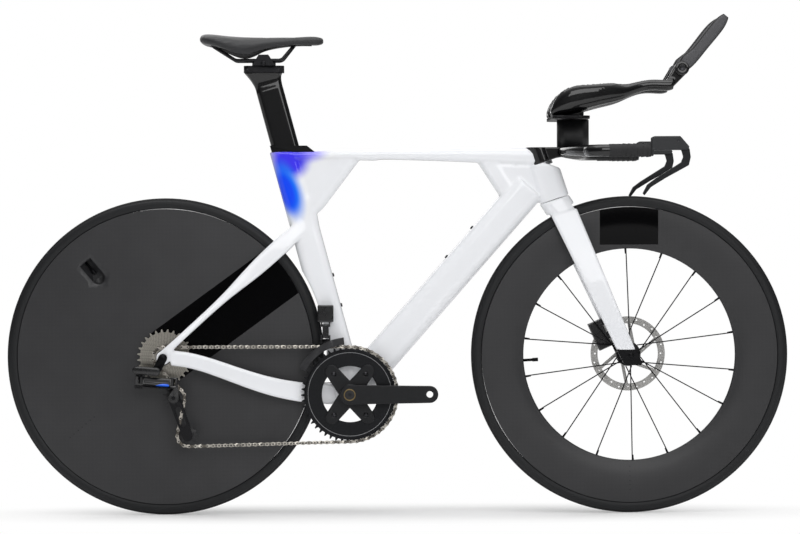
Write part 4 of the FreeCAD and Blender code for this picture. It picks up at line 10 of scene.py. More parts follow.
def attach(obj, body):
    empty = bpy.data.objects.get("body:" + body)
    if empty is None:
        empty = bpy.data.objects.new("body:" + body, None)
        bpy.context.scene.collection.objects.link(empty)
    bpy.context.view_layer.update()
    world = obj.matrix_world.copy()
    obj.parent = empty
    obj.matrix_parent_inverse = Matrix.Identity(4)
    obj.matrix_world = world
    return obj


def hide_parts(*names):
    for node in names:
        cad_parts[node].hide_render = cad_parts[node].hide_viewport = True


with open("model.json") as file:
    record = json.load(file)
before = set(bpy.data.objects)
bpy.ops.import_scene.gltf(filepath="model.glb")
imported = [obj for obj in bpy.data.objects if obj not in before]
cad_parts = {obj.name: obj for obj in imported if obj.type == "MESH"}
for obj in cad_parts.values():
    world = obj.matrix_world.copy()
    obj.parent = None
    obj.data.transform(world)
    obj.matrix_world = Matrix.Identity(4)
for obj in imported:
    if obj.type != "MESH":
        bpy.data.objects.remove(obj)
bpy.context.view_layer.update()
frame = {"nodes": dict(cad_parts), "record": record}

# Frame and rear stays: one hollow shell of moulded carbon, bonded at the joints and lacquered white.
# The tubes run into each other without a seam, and a blue and violet fade is sprayed over the rear
# edge of the seat tube.
MM = 0.001
WELD = 0.004 * MM
BODY_OF = {node: body for body, nodes in frame["record"]["behaviour"]["bodies"].items()
           for node in nodes}


def linear(colour):
    """An sRGB hex colour as linear red, green, blue and full alpha."""
    parts = [int(colour[place:place + 2], 16) / 255 for place in (1, 3, 5)]
    return [part / 12.92 if part <= 0.04045 else ((part + 0.055) / 1.055) ** 2.4
            for part in parts] + [1]


def add_node(tree, kind, links=None, **settings):
    """A shader node with its settings, and its sockets set to a value or linked to a socket."""
    node = tree.nodes.new("ShaderNode" + kind)
    for name, value in settings.items():
        setattr(node, name, value)
    for name, source in (links or {}).items():
        if isinstance(source, bpy.types.NodeSocket):
            tree.links.new(source, node.inputs[name])
        else:
            node.inputs[name].default_value = source
    return node


def new_finish(name, **sockets):
    """A material with one principled shader whose own sockets take the constant values."""
    material = bpy.data.materials.new(name)
    material.use_nodes = True
    shader = material.node_tree.nodes["Principled BSDF"]
    for socket, value in sockets.items():
        shader.inputs[socket.replace("_", " ")].default_value = value
    return material, material.node_tree, shader


def feed(shader, **sources):
    """Links each source to the shader's socket of that name."""
    for socket, source in sources.items():
        shader.id_data.links.new(source, shader.inputs[socket.replace("_", " ")])


def per_metre(length):
    """The texture scale at which one pattern cell has that length in millimetres."""
    return 1 / (length * MM)


def new_object(name, shape):
    """A scene object at the origin that takes the bmesh over."""
    mesh = bpy.data.meshes.new(name)
    shape.to_mesh(mesh)
    shape.free()
    piece = bpy.data.objects.new(name, mesh)
    bpy.context.collection.objects.link(piece)
    return piece


def merged_copy(name, *nodes):
    """The surfaces of the solids as closed shells in a new object."""
    shape = bmesh.new()
    for node in nodes:
        shape.from_mesh(frame["nodes"][node].data)
    bmesh.ops.remove_doubles(shape, verts=shape.verts, dist=WELD)
    return new_object(name, shape)


def settle(piece):
    """Applies the object's modifiers to its mesh."""
    graph = bpy.context.evaluated_depsgraph_get()
    mesh = bpy.data.meshes.new_from_object(piece.evaluated_get(graph))
    piece.modifiers.clear()
    piece.data = mesh


def reskin(piece, cell):
    """Gives the piece one closed skin of small even faces."""
    remesh = piece.modifiers.new("skin", "REMESH")
    remesh.mode = "VOXEL"
    remesh.voxel_size = cell * MM
    settle(piece)


def smooth(shape, verts):
    """Moves each vertex halfway to the middle of its neighbours."""
    bmesh.ops.smooth_vert(shape, verts=verts, factor=0.5, use_axis_x=True, use_axis_y=True,
                          use_axis_z=True)


def shade(piece, material, crease):
    """Smooth shading with sharp edges where the faces turn by more than the crease."""
    piece.data.materials.clear()
    piece.data.materials.append(material)
    for face in piece.data.polygons:
        face.use_smooth = True
        face.material_index = 0
    piece.data.set_sharp_from_angle(angle=math.radians(crease))


def stand_for(piece, *nodes):
    """The piece shows in place of these solids and moves with their body."""
    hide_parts(*nodes)
    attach(piece, BODY_OF[nodes[0]])
    return piece


SEAMLESS = 180
FACE_BUDGET = 170000


def moulded(name, nodes, material, cell, rounds):
    """The solids as one seamless moulding, with edges and inner corners eased by a few cells."""
    piece = merged_copy(name, *nodes)
    reskin(piece, cell)
    shape = bmesh.new()
    shape.from_mesh(piece.data)
    for turn in range(rounds):
        smooth(shape, shape.verts)
    shape.to_mesh(piece.data)
    shape.free()
    triangles = 2 * len(piece.data.polygons)
    if triangles > FACE_BUDGET:
        thin = piece.modifiers.new("thin", "DECIMATE")
        thin.ratio = FACE_BUDGET / triangles
        settle(piece)
    shade(piece, material, SEAMLESS)
    return stand_for(piece, *nodes)


# The tone of a sprayed coat drifts slowly along the shell, and its skin has faint waves.
CLOUD = 180
PEEL_SPACING = 7
PEEL_RELIEF = 0.012


def lacquer(name, base, fades=()):
    """Clear lacquer over a base colour, with the waviness of a sprayed coat and soft fades."""
    material, tree, shader = new_finish(name, Roughness=0.35, Specular_IOR_Level=0.15,
                                        Coat_Weight=1, Coat_Roughness=0.03, IOR=1.5)
    place = add_node(tree, "TexCoord").outputs["Object"]
    cloud = add_node(tree, "TexNoise", {
        "Vector": place, "Scale": per_metre(CLOUD), "Detail": 2})
    colour = add_node(tree, "Mix", {
        "Factor": cloud.outputs["Fac"], 6: linear(base[0]), 7: linear(base[1])},
        data_type="RGBA").outputs[2]
    for hue, centre, reach, turn, edge in fades:
        drawn = add_node(tree, "Mapping", {
            "Vector": place, "Location": [part * MM for part in centre],
            "Rotation": (0, math.radians(turn), 0), "Scale": [part * MM for part in reach]},
            vector_type="TEXTURE")
        ball = add_node(tree, "TexGradient", {"Vector": drawn.outputs["Vector"]},
                        gradient_type="SPHERICAL")
        mist = add_node(tree, "MapRange", {"Value": ball.outputs["Fac"], "From Max": edge},
                        interpolation_type="SMOOTHSTEP")
        colour = add_node(tree, "Mix", {
            "Factor": mist.outputs["Result"], 6: colour, 7: linear(hue)},
            data_type="RGBA").outputs[2]
    peel = add_node(tree, "TexNoise", {
        "Vector": place, "Scale": per_metre(PEEL_SPACING), "Detail": 1})
    bump = add_node(tree, "Bump", {
        "Height": peel.outputs["Fac"], "Distance": PEEL_RELIEF * MM, "Strength": 0.12})
    feed(shader, Base_Color=colour, Normal=bump.outputs["Normal"],
         Coat_Normal=bump.outputs["Normal"])
    return material


# Each fade has a colour, a centre, a reach each way, a lean in degrees and the share of its reach
# over which it thins out. It runs right through the frame from side to side.
SOFT_EDGE_SHARE = 0.62
THROUGH = 100000
FADES = (
    ("#8F86FF", (-214, 0, 774), (78, THROUGH, 30), 0, SOFT_EDGE_SHARE),
    ("#3C33F4", (-229, 0, 754), (54, THROUGH, 48), 0, SOFT_EDGE_SHARE),
    ("#0A84FF", (-231, 0, 693), (36, THROUGH, 80), -19, SOFT_EDGE_SHARE),
    ("#0048FF", (-236, 0, 692), (27, THROUGH, 64), -19, SOFT_EDGE_SHARE),
)
# Lacquered carbon: a clean cool white under a hard, wet shine.
WHITE_BASE = ("#EEF0F4", "#F5F6F9")
white_lacquer = lacquer("lacquered_white_carbon", WHITE_BASE, FADES)
shell = moulded("frame_shell", ("frame", "rear_stays"), white_lacquer, cell=1.7, rounds=11)


def drawn_out(piece, start, end, reach, way):
    """Draws the skin near a line out by the way, most on the line and none beyond the reach."""
    first = Vector(start) * MM
    run = Vector(end) * MM - first
    for vertex in piece.data.vertices:
        beside = Vector((vertex.co.x, 0, vertex.co.z)) - first
        share = min(max(beside.dot(run) / run.length_squared, 0), 1)
        near = 1 - min((beside - run * share).length / (reach * MM), 1)
        vertex.co += Vector(way) * MM * near * near * (3 - 2 * near)


FEATHER_SHARE = 0.65


def eased(piece, centre, reach, inner, rounds):
    """Smooths both sides of the skin round a point further, less and less towards the reach."""
    shape = bmesh.new()
    shape.from_mesh(piece.data)
    middle = Vector(centre) * MM
    gaps = [(vertex, (Vector((vertex.co.x, 0, vertex.co.z)) - middle).length)
            for vertex in shape.verts if abs(vertex.co.y) > inner * MM]
    for turn in range(rounds):
        edge = reach * MM * (1 - FEATHER_SHARE * turn / rounds)
        smooth(shape, [vertex for vertex, gap in gaps if gap < edge])
    shape.to_mesh(piece.data)
    shape.free()


# The gusset in front of the seat tube is filled out, and the stays run softly into the tube.
drawn_out(shell, start=(-152, 0, 654), end=(-62, 0, 734), reach=45, way=(6.4, 0, -7.1))
eased(shell, centre=(-204, 0, 624), reach=58, inner=9, rounds=64)

# Fork: two straight blades and the crown in one carbon moulding, lacquered like the frame but with
# no fade. Its steerer runs up through the head tube.
plain_white = lacquer("lacquered_white_fork", WHITE_BASE)
moulded("fork_shell", ("fork",), plain_white, cell=1.5, rounds=9)

# Fork tips and axles: dark alloy dropouts bonded into the blades' ends, and hollow turned axles that
# screw through both hubs. All are machined, with sharp corners.

# A pixel of the picture covers about 2 mm, so a fine grain is drawn several times as coarse to show.
SHOWN = 5


def grained(name, dark, light, grain, rough, relief, **sockets):
    """A finish whose colour, roughness and skin wander with a grain of that size."""
    material, tree, shader = new_finish(name, **sockets)
    place = add_node(tree, "TexCoord").outputs["Object"]
    value = add_node(tree, "TexNoise", {
        "Vector": place, "Scale": per_metre(grain * SHOWN), "Detail": 2,
        "Roughness": 0.5}).outputs["Fac"]
    tone = add_node(tree, "Mix", {"Factor": value, 6: linear(dark), 7: linear(light)},
                    data_type="RGBA")
    worn = add_node(tree, "MapRange", {"Value": value, "To Min": rough[0], "To Max": rough[1]})
    bump = add_node(tree, "Bump", {"Height": value, "Distance": relief * MM, "Strength": 0.3})
    feed(shader, Base_Color=tone.outputs[2], Roughness=worn.outputs["Result"],
         Normal=bump.outputs["Normal"])
    return material


def crisp(node, material, crease=35):
    """The solid as it was machined, with smooth curved faces and sharp corners."""
    piece = merged_copy(node + "_skin", node)
    shade(piece, material, crease)
    return stand_for(piece, node)


# Anodised aluminium: an even black with a soft metal glow on its edges.
black_alloy = grained("anodised_black_aluminium", "#0D0D0F", "#1A1A1C", grain=1.6,
                      rough=(0.32, 0.46), relief=0.01, Metallic=0.75)
for node in ("fork_tips", "front_thru_axle", "rear_thru_axle"):
    crisp(node, black_alloy)

# Headset bearings, bottom bracket cups, derailleur hanger and bottle bolts: ground steel and turned
# alloy, pressed or bolted into the frame.

# Ground steel: bright and slightly streaked.
bearing_steel = grained("ground_bearing_steel", "#8E9093", "#B4B6B8", grain=0.8,
                        rough=(0.18, 0.32), relief=0.004, Metallic=1)
crisp("headset_bearings", bearing_steel)
crisp("bottom_bracket_cups", black_alloy)
crisp("derailleur_hanger", black_alloy)
# Oxide-blacked steel: a dark grey metal with a thin oily shine.
bolt_steel = grained("black_oxide_steel", "#2A2A2C", "#4A4A4D", grain=0.7,
                     rough=(0.25, 0.4), relief=0.006, Metallic=1)
crisp("bottle_cage_bolts", bolt_steel)

# Seatpost and clamp cover: a deep carbon blade that slides into the frame, and a wedge-shaped
# moulded cover that hides its clamp.

# Lacquered carbon in black: nearly no colour of its own, only long clean reflections.
black_lacquer = lacquer("lacquered_black_carbon", ("#040405", "#0A0A0C"))
moulded("seatpost_blade", ("seatpost",), black_lacquer, cell=1.3, rounds=5)
crisp("seat_clamp_cover", black_lacquer)

# Saddle clamp and rails: forged and machined alloy jaws on a cross bolt, and bent tubular steel
# rails that they grip.

# Bead-blasted alloy: a dull dark grey that spreads the light.
dark_alloy = grained("bead_blasted_alloy", "#1A1A1C", "#2C2C2F", grain=0.9,
                     rough=(0.42, 0.58), relief=0.02, Metallic=0.7)
crisp("saddle_clamp", dark_alloy)
# Coated steel: black with a narrow line of light along each bend.
rail_steel = grained("coated_rail_steel", "#141416", "#242427", grain=1.2,
                     rough=(0.3, 0.42), relief=0.006, Metallic=0.6)
crisp("saddle_rails", rail_steel, crease=50)

# Saddle: a nylon shell on the rails under a foam pad with a drawn microfibre skin. The skin is
# stretched over the foam, so it is full on top and tight at the rim.

# Moulded nylon: a matt black with a fine grain from the mould.
shell_nylon = grained("moulded_nylon", "#101012", "#1B1B1D", grain=1.1,
                      rough=(0.5, 0.66), relief=0.03)
crisp("saddle_shell", shell_nylon)

HELD_NORMAL_SHARE = -0.25
AIR_PRESSURE = 4
AIR_STEPS = 20


def stuffed(name, node, material, cell, inset, cap):
    """A foam piece with a drawn cover: a smaller skin that air presses out, held underneath."""
    piece = merged_copy(name, node)
    reskin(piece, cell)
    held = piece.vertex_groups.new(name="held")
    start = []
    for vertex in piece.data.vertices:
        if vertex.normal.z < HELD_NORMAL_SHARE:
            held.add([vertex.index], 1, "REPLACE")
        vertex.co = vertex.co - vertex.normal * inset * MM
        start.append(vertex.co.copy())
    cloth = piece.modifiers.new("cover", "CLOTH")
    cloth.settings.use_pressure = True
    cloth.settings.uniform_pressure_force = AIR_PRESSURE
    cloth.settings.vertex_group_mass = "held"
    cloth.settings.effector_weights.gravity = 0
    cloth.point_cache.frame_end = AIR_STEPS
    scene = bpy.context.scene
    for step in range(1, AIR_STEPS + 1):
        scene.frame_set(step)
    graph = bpy.context.evaluated_depsgraph_get()
    pressed = [vertex.co.copy() for vertex in piece.evaluated_get(graph).data.vertices]
    piece.modifiers.clear()
    scene.frame_set(1)
    for vertex, first, last in zip(piece.data.vertices, start, pressed):
        move = last - first
        if move.length > cap * MM:
            move = move.normalized() * cap * MM
        vertex.co = first + move
    rounded = piece.modifiers.new("round", "SUBSURF")
    rounded.levels = 1
    rounded.render_levels = 1
    settle(piece)
    shade(piece, material, SEAMLESS)
    return stand_for(piece, node)


# Microfibre: charcoal with a soft pale bloom where it turns away.
saddle_skin = grained("microfibre_skin", "#141517", "#232427", grain=1.3, rough=(0.46, 0.62),
                      relief=0.05, Sheen_Weight=0.25, Sheen_Roughness=0.5)
stuffed("saddle_pad", "saddle_cover", saddle_skin, cell=4, inset=1.2, cap=2.4)

# Tyres: a slick rubber tread on a woven casing, stretched over the rim. The side wall is smooth and
# slightly paler, with a moulded line where the tread ends and another above the rim.
TYRE_RADIUS = 339
TYRE_HALF = 14
TYRE_STEPS = 256
TYRE_CREASE = 60
AXLE_HEIGHT = 339
WHEEL_X = {"front": 496.5, "rear": -496.5}
SIDE_ANGLES = (0, 8, 16, 25, 34, 42, 46, 48, 51, 60, 72, 84, 96, 108, 118, 121, 124, 127)
GROOVE_ANGLES = {46: -0.35, 48: -0.5, 51: 0, 118: 0.25, 121: 0.35, 124: 0.1}
TREAD_EDGE = 333
TREAD_BLEND = 3
DUST_SPACING = 9
CAST_GRAIN = 6
CAST_RELIEF = 0.12


def wheel_place(end):
    """The wheel's axle in metres."""
    return Vector((WHEEL_X[end] * MM, 0, AXLE_HEIGHT * MM))


def spun(centre, section, steps):
    """A bmesh of a section in millimetres from the centre, swung once round the cross axis."""
    shape = bmesh.new()
    points = [shape.verts.new(centre + Vector(offset) * MM) for offset in section]
    edges = [shape.edges.new(pair) for pair in zip(points, points[1:])]
    bmesh.ops.spin(shape, geom=points + edges, cent=centre, axis=(0, 1, 0), angle=math.tau,
                   steps=steps, use_merge=True, use_duplicate=False)
    bmesh.ops.remove_doubles(shape, verts=shape.verts, dist=WELD)
    bmesh.ops.recalc_face_normals(shape, faces=shape.faces)
    return shape


def tyre(end, material):
    """The tyre's section, with its moulded lines, swung once round the axle."""
    half = []
    for angle in SIDE_ANGLES:
        reach = TYRE_HALF + GROOVE_ANGLES.get(angle, 0)
        turn = math.radians(angle)
        half.append((reach * math.sin(turn), TYRE_RADIUS - TYRE_HALF + reach * math.cos(turn)))
    section = [(0, -side, out) for side, out in reversed(half[1:])]
    section += [(0, side, out) for side, out in half]
    piece = new_object(end + "_tyre_casing", spun(wheel_place(end), section, TYRE_STEPS))
    shade(piece, material, TYRE_CREASE)
    return stand_for(piece, end + "_tyre")


def rubber(end):
    """Vulcanised rubber: dull charcoal, dusty in the tread and smoother on the side wall."""
    material, tree, shader = new_finish("vulcanised_rubber_" + end, IOR=1.52,
                                        Specular_IOR_Level=0.3)
    place = add_node(tree, "TexCoord").outputs["Object"]
    flat = add_node(tree, "Mapping", {
        "Vector": place, "Location": -wheel_place(end), "Scale": (1, 0, 1)})
    radius = add_node(tree, "VectorMath", {"Vector": flat.outputs["Vector"]}, operation="LENGTH")
    band = add_node(tree, "MapRange", {
        "Value": radius.outputs["Value"], "From Min": TREAD_EDGE * MM,
        "From Max": (TREAD_EDGE + TREAD_BLEND) * MM}).outputs["Result"]
    dust = add_node(tree, "TexNoise", {
        "Vector": place, "Scale": per_metre(DUST_SPACING), "Detail": 6})
    tread = add_node(tree, "Mix", {
        "Factor": dust.outputs["Fac"], 6: linear("#0F0F11"), 7: linear("#19191B")},
        data_type="RGBA")
    tone = add_node(tree, "Mix", {"Factor": band, 6: linear("#191A1C"), 7: tread.outputs[2]},
                    data_type="RGBA")
    rough = add_node(tree, "MapRange", {"Value": band, "To Min": 0.5, "To Max": 0.72})
    cast = add_node(tree, "TexVoronoi", {"Vector": place, "Scale": per_metre(CAST_GRAIN)})
    bump = add_node(tree, "Bump", {
        "Height": cast.outputs["Distance"], "Distance": CAST_RELIEF * MM, "Strength": 0.5})
    feed(shader, Base_Color=tone.outputs[2], Roughness=rough.outputs["Result"],
         Normal=bump.outputs["Normal"])
    return material


for end in ("front", "rear"):
    tyre(end, rubber(end))

# Front rim and rear disc: wound and moulded carbon with a satin clear coat. The weave shows faintly,
# a plain gloss black panel is laid on each, and small drain holes are drilled along one radius.

# A tow is about 3 mm wide. It is drawn twice as wide, to show.
TOW_WIDTH = 6
TOW_LEAN = 45
TOW_SHADE_SHARE = 0.93
FIBRE_CLOUD = 60
FIBRE_RELIEF = 0.06
RIM_CREASE = 30


def satin_carbon(end, turn, half, low, high, dark, light):
    """Satin carbon twill, a dark even grey, with a gloss black panel on the wheel's face."""
    material, tree, shader = new_finish("satin_carbon_" + end, IOR=1.5)
    place = add_node(tree, "TexCoord").outputs["Object"]
    centred = add_node(tree, "Mapping", {
        "Vector": place, "Location": -wheel_place(end)}).outputs["Vector"]
    turned = add_node(tree, "Mapping", {
        "Vector": centred, "Rotation": (0, math.radians(turn), 0)})
    axes = add_node(tree, "SeparateXYZ", {"Vector": turned.outputs["Vector"]}).outputs
    across = add_node(tree, "Math", {0: axes["X"]}, operation="ABSOLUTE").outputs["Value"]
    panel = add_node(tree, "Math", {0: across, 1: half * MM}, operation="LESS_THAN")
    for limit, test in ((low, "GREATER_THAN"), (high, "LESS_THAN")):
        within = add_node(tree, "Math", {0: axes["Z"], 1: limit * MM}, operation=test)
        panel = add_node(tree, "Math", {
            0: panel.outputs["Value"], 1: within.outputs["Value"]}, operation="MULTIPLY")
    mask = panel.outputs["Value"]
    laid = add_node(tree, "Mapping", {
        "Vector": centred, "Rotation": (0, math.radians(TOW_LEAN), 0), "Scale": (1, 0, 1)})
    weave = add_node(tree, "TexChecker", {
        "Vector": laid.outputs["Vector"], "Scale": per_metre(TOW_WIDTH)})
    cloud = add_node(tree, "TexNoise", {
        "Vector": place, "Scale": per_metre(FIBRE_CLOUD), "Detail": 5})
    fibre = add_node(tree, "Mix", {
        "Factor": cloud.outputs["Fac"], 6: linear(dark), 7: linear(light)}, data_type="RGBA")
    tow = add_node(tree, "Mix", {
        "Factor": weave.outputs["Fac"], 6: fibre.outputs[2], 7: [TOW_SHADE_SHARE] * 3 + [1]},
        data_type="RGBA", blend_type="MULTIPLY")
    colour = add_node(tree, "Mix", {
        "Factor": mask, 6: tow.outputs[2], 7: linear("#060607")}, data_type="RGBA")
    rough = add_node(tree, "MapRange", {"Value": mask, "To Min": 0.42, "To Max": 0.12})
    shine = add_node(tree, "MapRange", {"Value": mask, "To Min": 0.5, "To Max": 0.12})
    bump = add_node(tree, "Bump", {
        "Height": cloud.outputs["Fac"], "Distance": FIBRE_RELIEF * MM, "Strength": 0.3})
    feed(shader, Base_Color=colour.outputs[2], Roughness=rough.outputs["Result"],
         Specular_IOR_Level=shine.outputs["Result"], Normal=bump.outputs["Normal"])
    return material


front_carbon = satin_carbon("front", turn=0, half=62.5, low=235, high=330,
                            dark="#252527", light="#2E2E30")
rear_carbon = satin_carbon("rear", turn=-54, half=58.5, low=0, high=340,
                           dark="#28282A", light="#323234")
crisp("front_rim", front_carbon, RIM_CREASE)
crisp("rear_disc", rear_carbon, RIM_CREASE)


def on_face(node, x, z):
    """The point of the solid's drive-side face at that place, and the way the face looks."""
    mesh = frame["nodes"][node].data
    faces = BVHTree.FromPolygons([vert.co for vert in mesh.vertices],
                                 [face.vertices for face in mesh.polygons])
    return faces.ray_cast(Vector((x, -1, z)), Vector((0, 1, 0)))[:2]


def add_cone(shape, middle, way, radii, length, sides):
    """Adds a closed cone along the way, with its radii and length in millimetres."""
    turn = way.to_track_quat("Z", "Y").to_matrix().to_4x4()
    return bmesh.ops.create_cone(
        shape, cap_ends=True, cap_tris=False, segments=sides, radius1=radii[0] * MM,
        radius2=radii[1] * MM, depth=length * MM,
        matrix=Matrix.Translation(middle) @ turn)["verts"]


FITTING_CREASE = 30


def fitted_to(node, name, shape, material):
    """A small piece that moves with the node's body and stands beside its solid."""
    piece = new_object(name, shape)
    shade(piece, material, FITTING_CREASE)
    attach(piece, BODY_OF[node])


HOLE_RADII = (1.7, 1.19)
HOLE_RIM = 0.3
HOLE_SIDES = 12


def drain_holes(end, node, bearing, radii):
    """A row of small drilled holes along one radius, each with a dark rim."""
    shape = bmesh.new()
    axle = wheel_place(end)
    out = Vector((math.cos(math.radians(bearing)), 0, math.sin(math.radians(bearing))))
    for radius in radii:
        hole = axle + out * radius * MM
        spot, look = on_face(node, hole.x, hole.z)
        add_cone(shape, spot, look, HOLE_RADII, HOLE_RIM, HOLE_SIDES)
    fitted_to(node, end + "_drain_holes", shape, shell_nylon)


drain_holes("rear", "rear_disc", bearing=220, radii=(199, 210, 222, 233, 244, 256, 267))
drain_holes("front", "front_rim", bearing=270, radii=(240, 250, 260, 270, 279, 289))

# Spokes, hubs and valves: bladed stainless spokes with a black coat, drawn tight by alloy nipples at
# the rim, turned hubs with anodised flanges, and slim valves with threaded stems.

# Coated steel wire: a thin black blade that catches light on its edge.
spoke_black = grained("coated_spoke_steel", "#161618", "#28282A", grain=0.9,
                      rough=(0.28, 0.4), relief=0.003, Metallic=0.8)
spokes = crisp("front_spokes", spoke_black, crease=50)


def solids(shape):
    """The separate solids of a bmesh, each as a list of vertices."""
    shape.verts.ensure_lookup_table()
    seen = set()
    found = []
    for first in shape.verts:
        if first.index in seen:
            continue
        seen.add(first.index)
        grown = [first]
        for vert in grown:
            for edge in vert.link_edges:
                other = edge.other_vert(vert)
                if other.index not in seen:
                    seen.add(other.index)
                    grown.append(other)
        found.append(grown)
    return found


NIPPLE_LENGTH = 11
NIPPLE_RADII = (1.7, 2.4)
NIPPLE_SIDES = 10
spoke_shape = bmesh.new()
spoke_shape.from_mesh(spokes.data)
nipple_shape = bmesh.new()
for spoke in solids(spoke_shape):
    ordered = sorted(spoke, key=lambda vert: (vert.co - wheel_place("front")).length)
    outer = ordered[-1].co
    along = (outer - ordered[0].co).normalized()
    add_cone(nipple_shape, outer - along * NIPPLE_LENGTH / 2 * MM, along, NIPPLE_RADII,
             NIPPLE_LENGTH, NIPPLE_SIDES)
spoke_shape.free()
fitted_to("front_spokes", "spoke_nipples", nipple_shape, black_alloy)
for node in ("front_hub", "rear_hub", "front_valve", "rear_valve"):
    crisp(node, black_alloy)

# Brake rotors: a stainless track cut from sheet on swept arms, ground flat and bolted to the hubs.
# Fine turning marks run round the track.
HOLLOW_DEPTH = 3.5
TURNING_RELIEF = 0.02


def turned_steel(name, centre, dark, light, ring, rough):
    """Bright steel with fine rings round an axle, and painted shade where it is hollow."""
    material, tree, shader = new_finish(name, Metallic=1, Anisotropic=0.4)
    place = add_node(tree, "TexCoord").outputs["Object"]
    flat = add_node(tree, "Mapping", {"Vector": place, "Location": -centre, "Scale": (1, 0, 1)})
    radius = add_node(tree, "VectorMath", {"Vector": flat.outputs["Vector"]}, operation="LENGTH")
    line = add_node(tree, "TexNoise", {
        "W": radius.outputs["Value"], "Scale": per_metre(ring), "Detail": 2},
        noise_dimensions="1D").outputs["Fac"]
    tone = add_node(tree, "Mix", {"Factor": line, 6: linear(dark), 7: linear(light)},
                    data_type="RGBA")
    # Painted shade: where the steel is hollow or close to itself, its colour goes to a dark
    # brown-grey.
    hollow = add_node(tree, "AmbientOcclusion", {"Distance": HOLLOW_DEPTH * MM}, samples=8,
                      only_local=True)
    painted_shade = add_node(tree, "Mix", {
        "Factor": hollow.outputs["AO"], 6: linear("#1B1A19"), 7: tone.outputs[2]},
        data_type="RGBA")
    worn = add_node(tree, "MapRange", {"Value": line, "To Min": rough[0], "To Max": rough[1]})
    bump = add_node(tree, "Bump", {
        "Height": line, "Distance": TURNING_RELIEF * MM, "Strength": 0.4})
    feed(shader, Base_Color=painted_shade.outputs[2], Roughness=worn.outputs["Result"],
         Normal=bump.outputs["Normal"])
    return material


# Turning marks are far finer than a pixel. They are drawn over a millimetre apart, to show.
# The rotors' steel also carries painted shade in its hollows.
for end in ("front", "rear"):
    steel = turned_steel("ground_rotor_steel_" + end, wheel_place(end), "#A9A8A6", "#D6D5D2",
                         ring=1.2, rough=(0.25, 0.42))
    crisp(end + "_rotor", steel)

# Cassette: stamped sprockets, stacked on the splines of the freehub body behind a lockring. The
# freehub is turned alloy on the hub's own axle.

# Nickel plate: a warm pale metal, with painted shade darkening it between the teeth.
TOOTHED_CREASE = 10
nickel = turned_steel("nickel_plated_sprockets", wheel_place("rear"), "#A8A39A", "#D2CEC4",
                      ring=1.5, rough=(0.26, 0.4))
crisp("cassette_sprockets", nickel, TOOTHED_CREASE)
crisp("freehub_body", dark_alloy)

# Chain: stamped steel plates riveted over rollers. The outer plates are nickel plated and bright,
# the inner ones are drawn darker as painted shade between them, and the pins' ends show dark on the
# plates.
INNER_GAP = 3.6
PLATE_LIMIT = 1.2
PIN_RADIUS = 1.6
PIN_LENGTH = 6.2
PIN_SIDES = 12
# Nickel plate: warm and bright, with small changes from link to link.
chain_nickel = grained("nickel_plated_links", "#9E9890", "#CFCBC2", grain=5,
                       rough=(0.24, 0.42), relief=0.01, Metallic=1)
# Inner plate steel: a darker brown-grey, painted shade between the outer plates.
inner_shade_steel = grained("inner_links_painted_shade", "#57534E", "#7C776F", grain=5,
                      rough=(0.3, 0.5), relief=0.01, Metallic=1)
links = crisp("chain", chain_nickel, crease=45)
links.data.materials.append(inner_shade_steel)
link_shape = bmesh.new()
link_shape.from_mesh(links.data)
pin_shape = bmesh.new()
plates = []
for solid in solids(link_shape):
    low = Vector([min(vert.co[axis] for vert in solid) for axis in range(3)])
    high = Vector([max(vert.co[axis] for vert in solid) for axis in range(3)])
    middle = (low + high) / 2
    if high.y - low.y < PLATE_LIMIT * MM:
        plates.append((middle.y, solid))
    else:
        add_cone(pin_shape, middle, Vector((0, 1, 0)), (PIN_RADIUS, PIN_RADIUS), PIN_LENGTH,
                 PIN_SIDES)
# Inner plates take the darker steel: painted shade between the outer plates.
for (near_side, near_plate), (far_side, far_plate) in zip(plates[::2], plates[1::2]):
    if abs(near_side - far_side) < INNER_GAP * MM:
        for vert in near_plate + far_plate:
            for face in vert.link_faces:
                face.material_index = 1
link_shape.to_mesh(links.data)
link_shape.free()
fitted_to("chain", "chain_pins", pin_shape, bolt_steel)

# Cranks and chainrings: hollow forged alloy arms on a steel spindle, and machined rings with cut
# teeth that are bolted to the right arm. A ring and a cap close the spindle's end.

# Graphite anodising: a dark grey satin with little glint.
crank_grey = grained("anodised_graphite_alloy", "#121315", "#1B1C1F", grain=0.8,
                     rough=(0.34, 0.46), relief=0.008, Metallic=0.4)
moulded("right_crank_arm", ("right_crank",), crank_grey, cell=0.9, rounds=4)
moulded("left_crank_arm", ("left_crank",), crank_grey, cell=0.9, rounds=4)
crisp("crank_spindle", bearing_steel)
# Hard anodising: black and a little brighter than the arms.
ring_alloy = grained("hard_anodised_rings", "#141517", "#232427", grain=0.9,
                     rough=(0.34, 0.5), relief=0.008, Metallic=0.7)
crisp("large_chainring", ring_alloy, TOOTHED_CREASE)
crisp("small_chainring", ring_alloy, TOOTHED_CREASE)
crisp("chainring_bolts", bolt_steel)

TURNED_STEPS = 96


def turned_on(name, node, centre, section, material, side=-1):
    """A small turned piece: a section of radius and outward reach, swung round the cross axis."""
    offsets = [(radius, side * reach, 0) for radius, reach in section]
    fitted_to(node, name, spun(centre, offsets, TURNED_STEPS), material)


CRANK_FACE = Vector((-101.62, -73.9, 258.5)) * MM
RING_FACE = Vector((-101.62, -49.45, 258.5)) * MM
CAP_RING_SECTION = ((10.4, -0.4), (10.4, 0.1), (10.8, 0.4), (12.2, 0.4), (12.6, 0.1), (12.6, -0.4))
CRANK_CAP_SECTION = ((0, 0.05), (3.4, 0.05), (4, 0.25), (9.6, 0.25), (10.2, 0.05), (10.2, -0.4))
EDGE_LINE_SECTION = ((88.2, -0.3), (88.4, 0.15), (89.4, 0.15), (89.6, -0.3))
# Bronze anodising: one thin warm ring on the dark arm.
bronze = grained("bronze_tone_anodising", "#7B6A4A", "#96835E", grain=0.8,
                 rough=(0.25, 0.36), relief=0.004, Metallic=1)
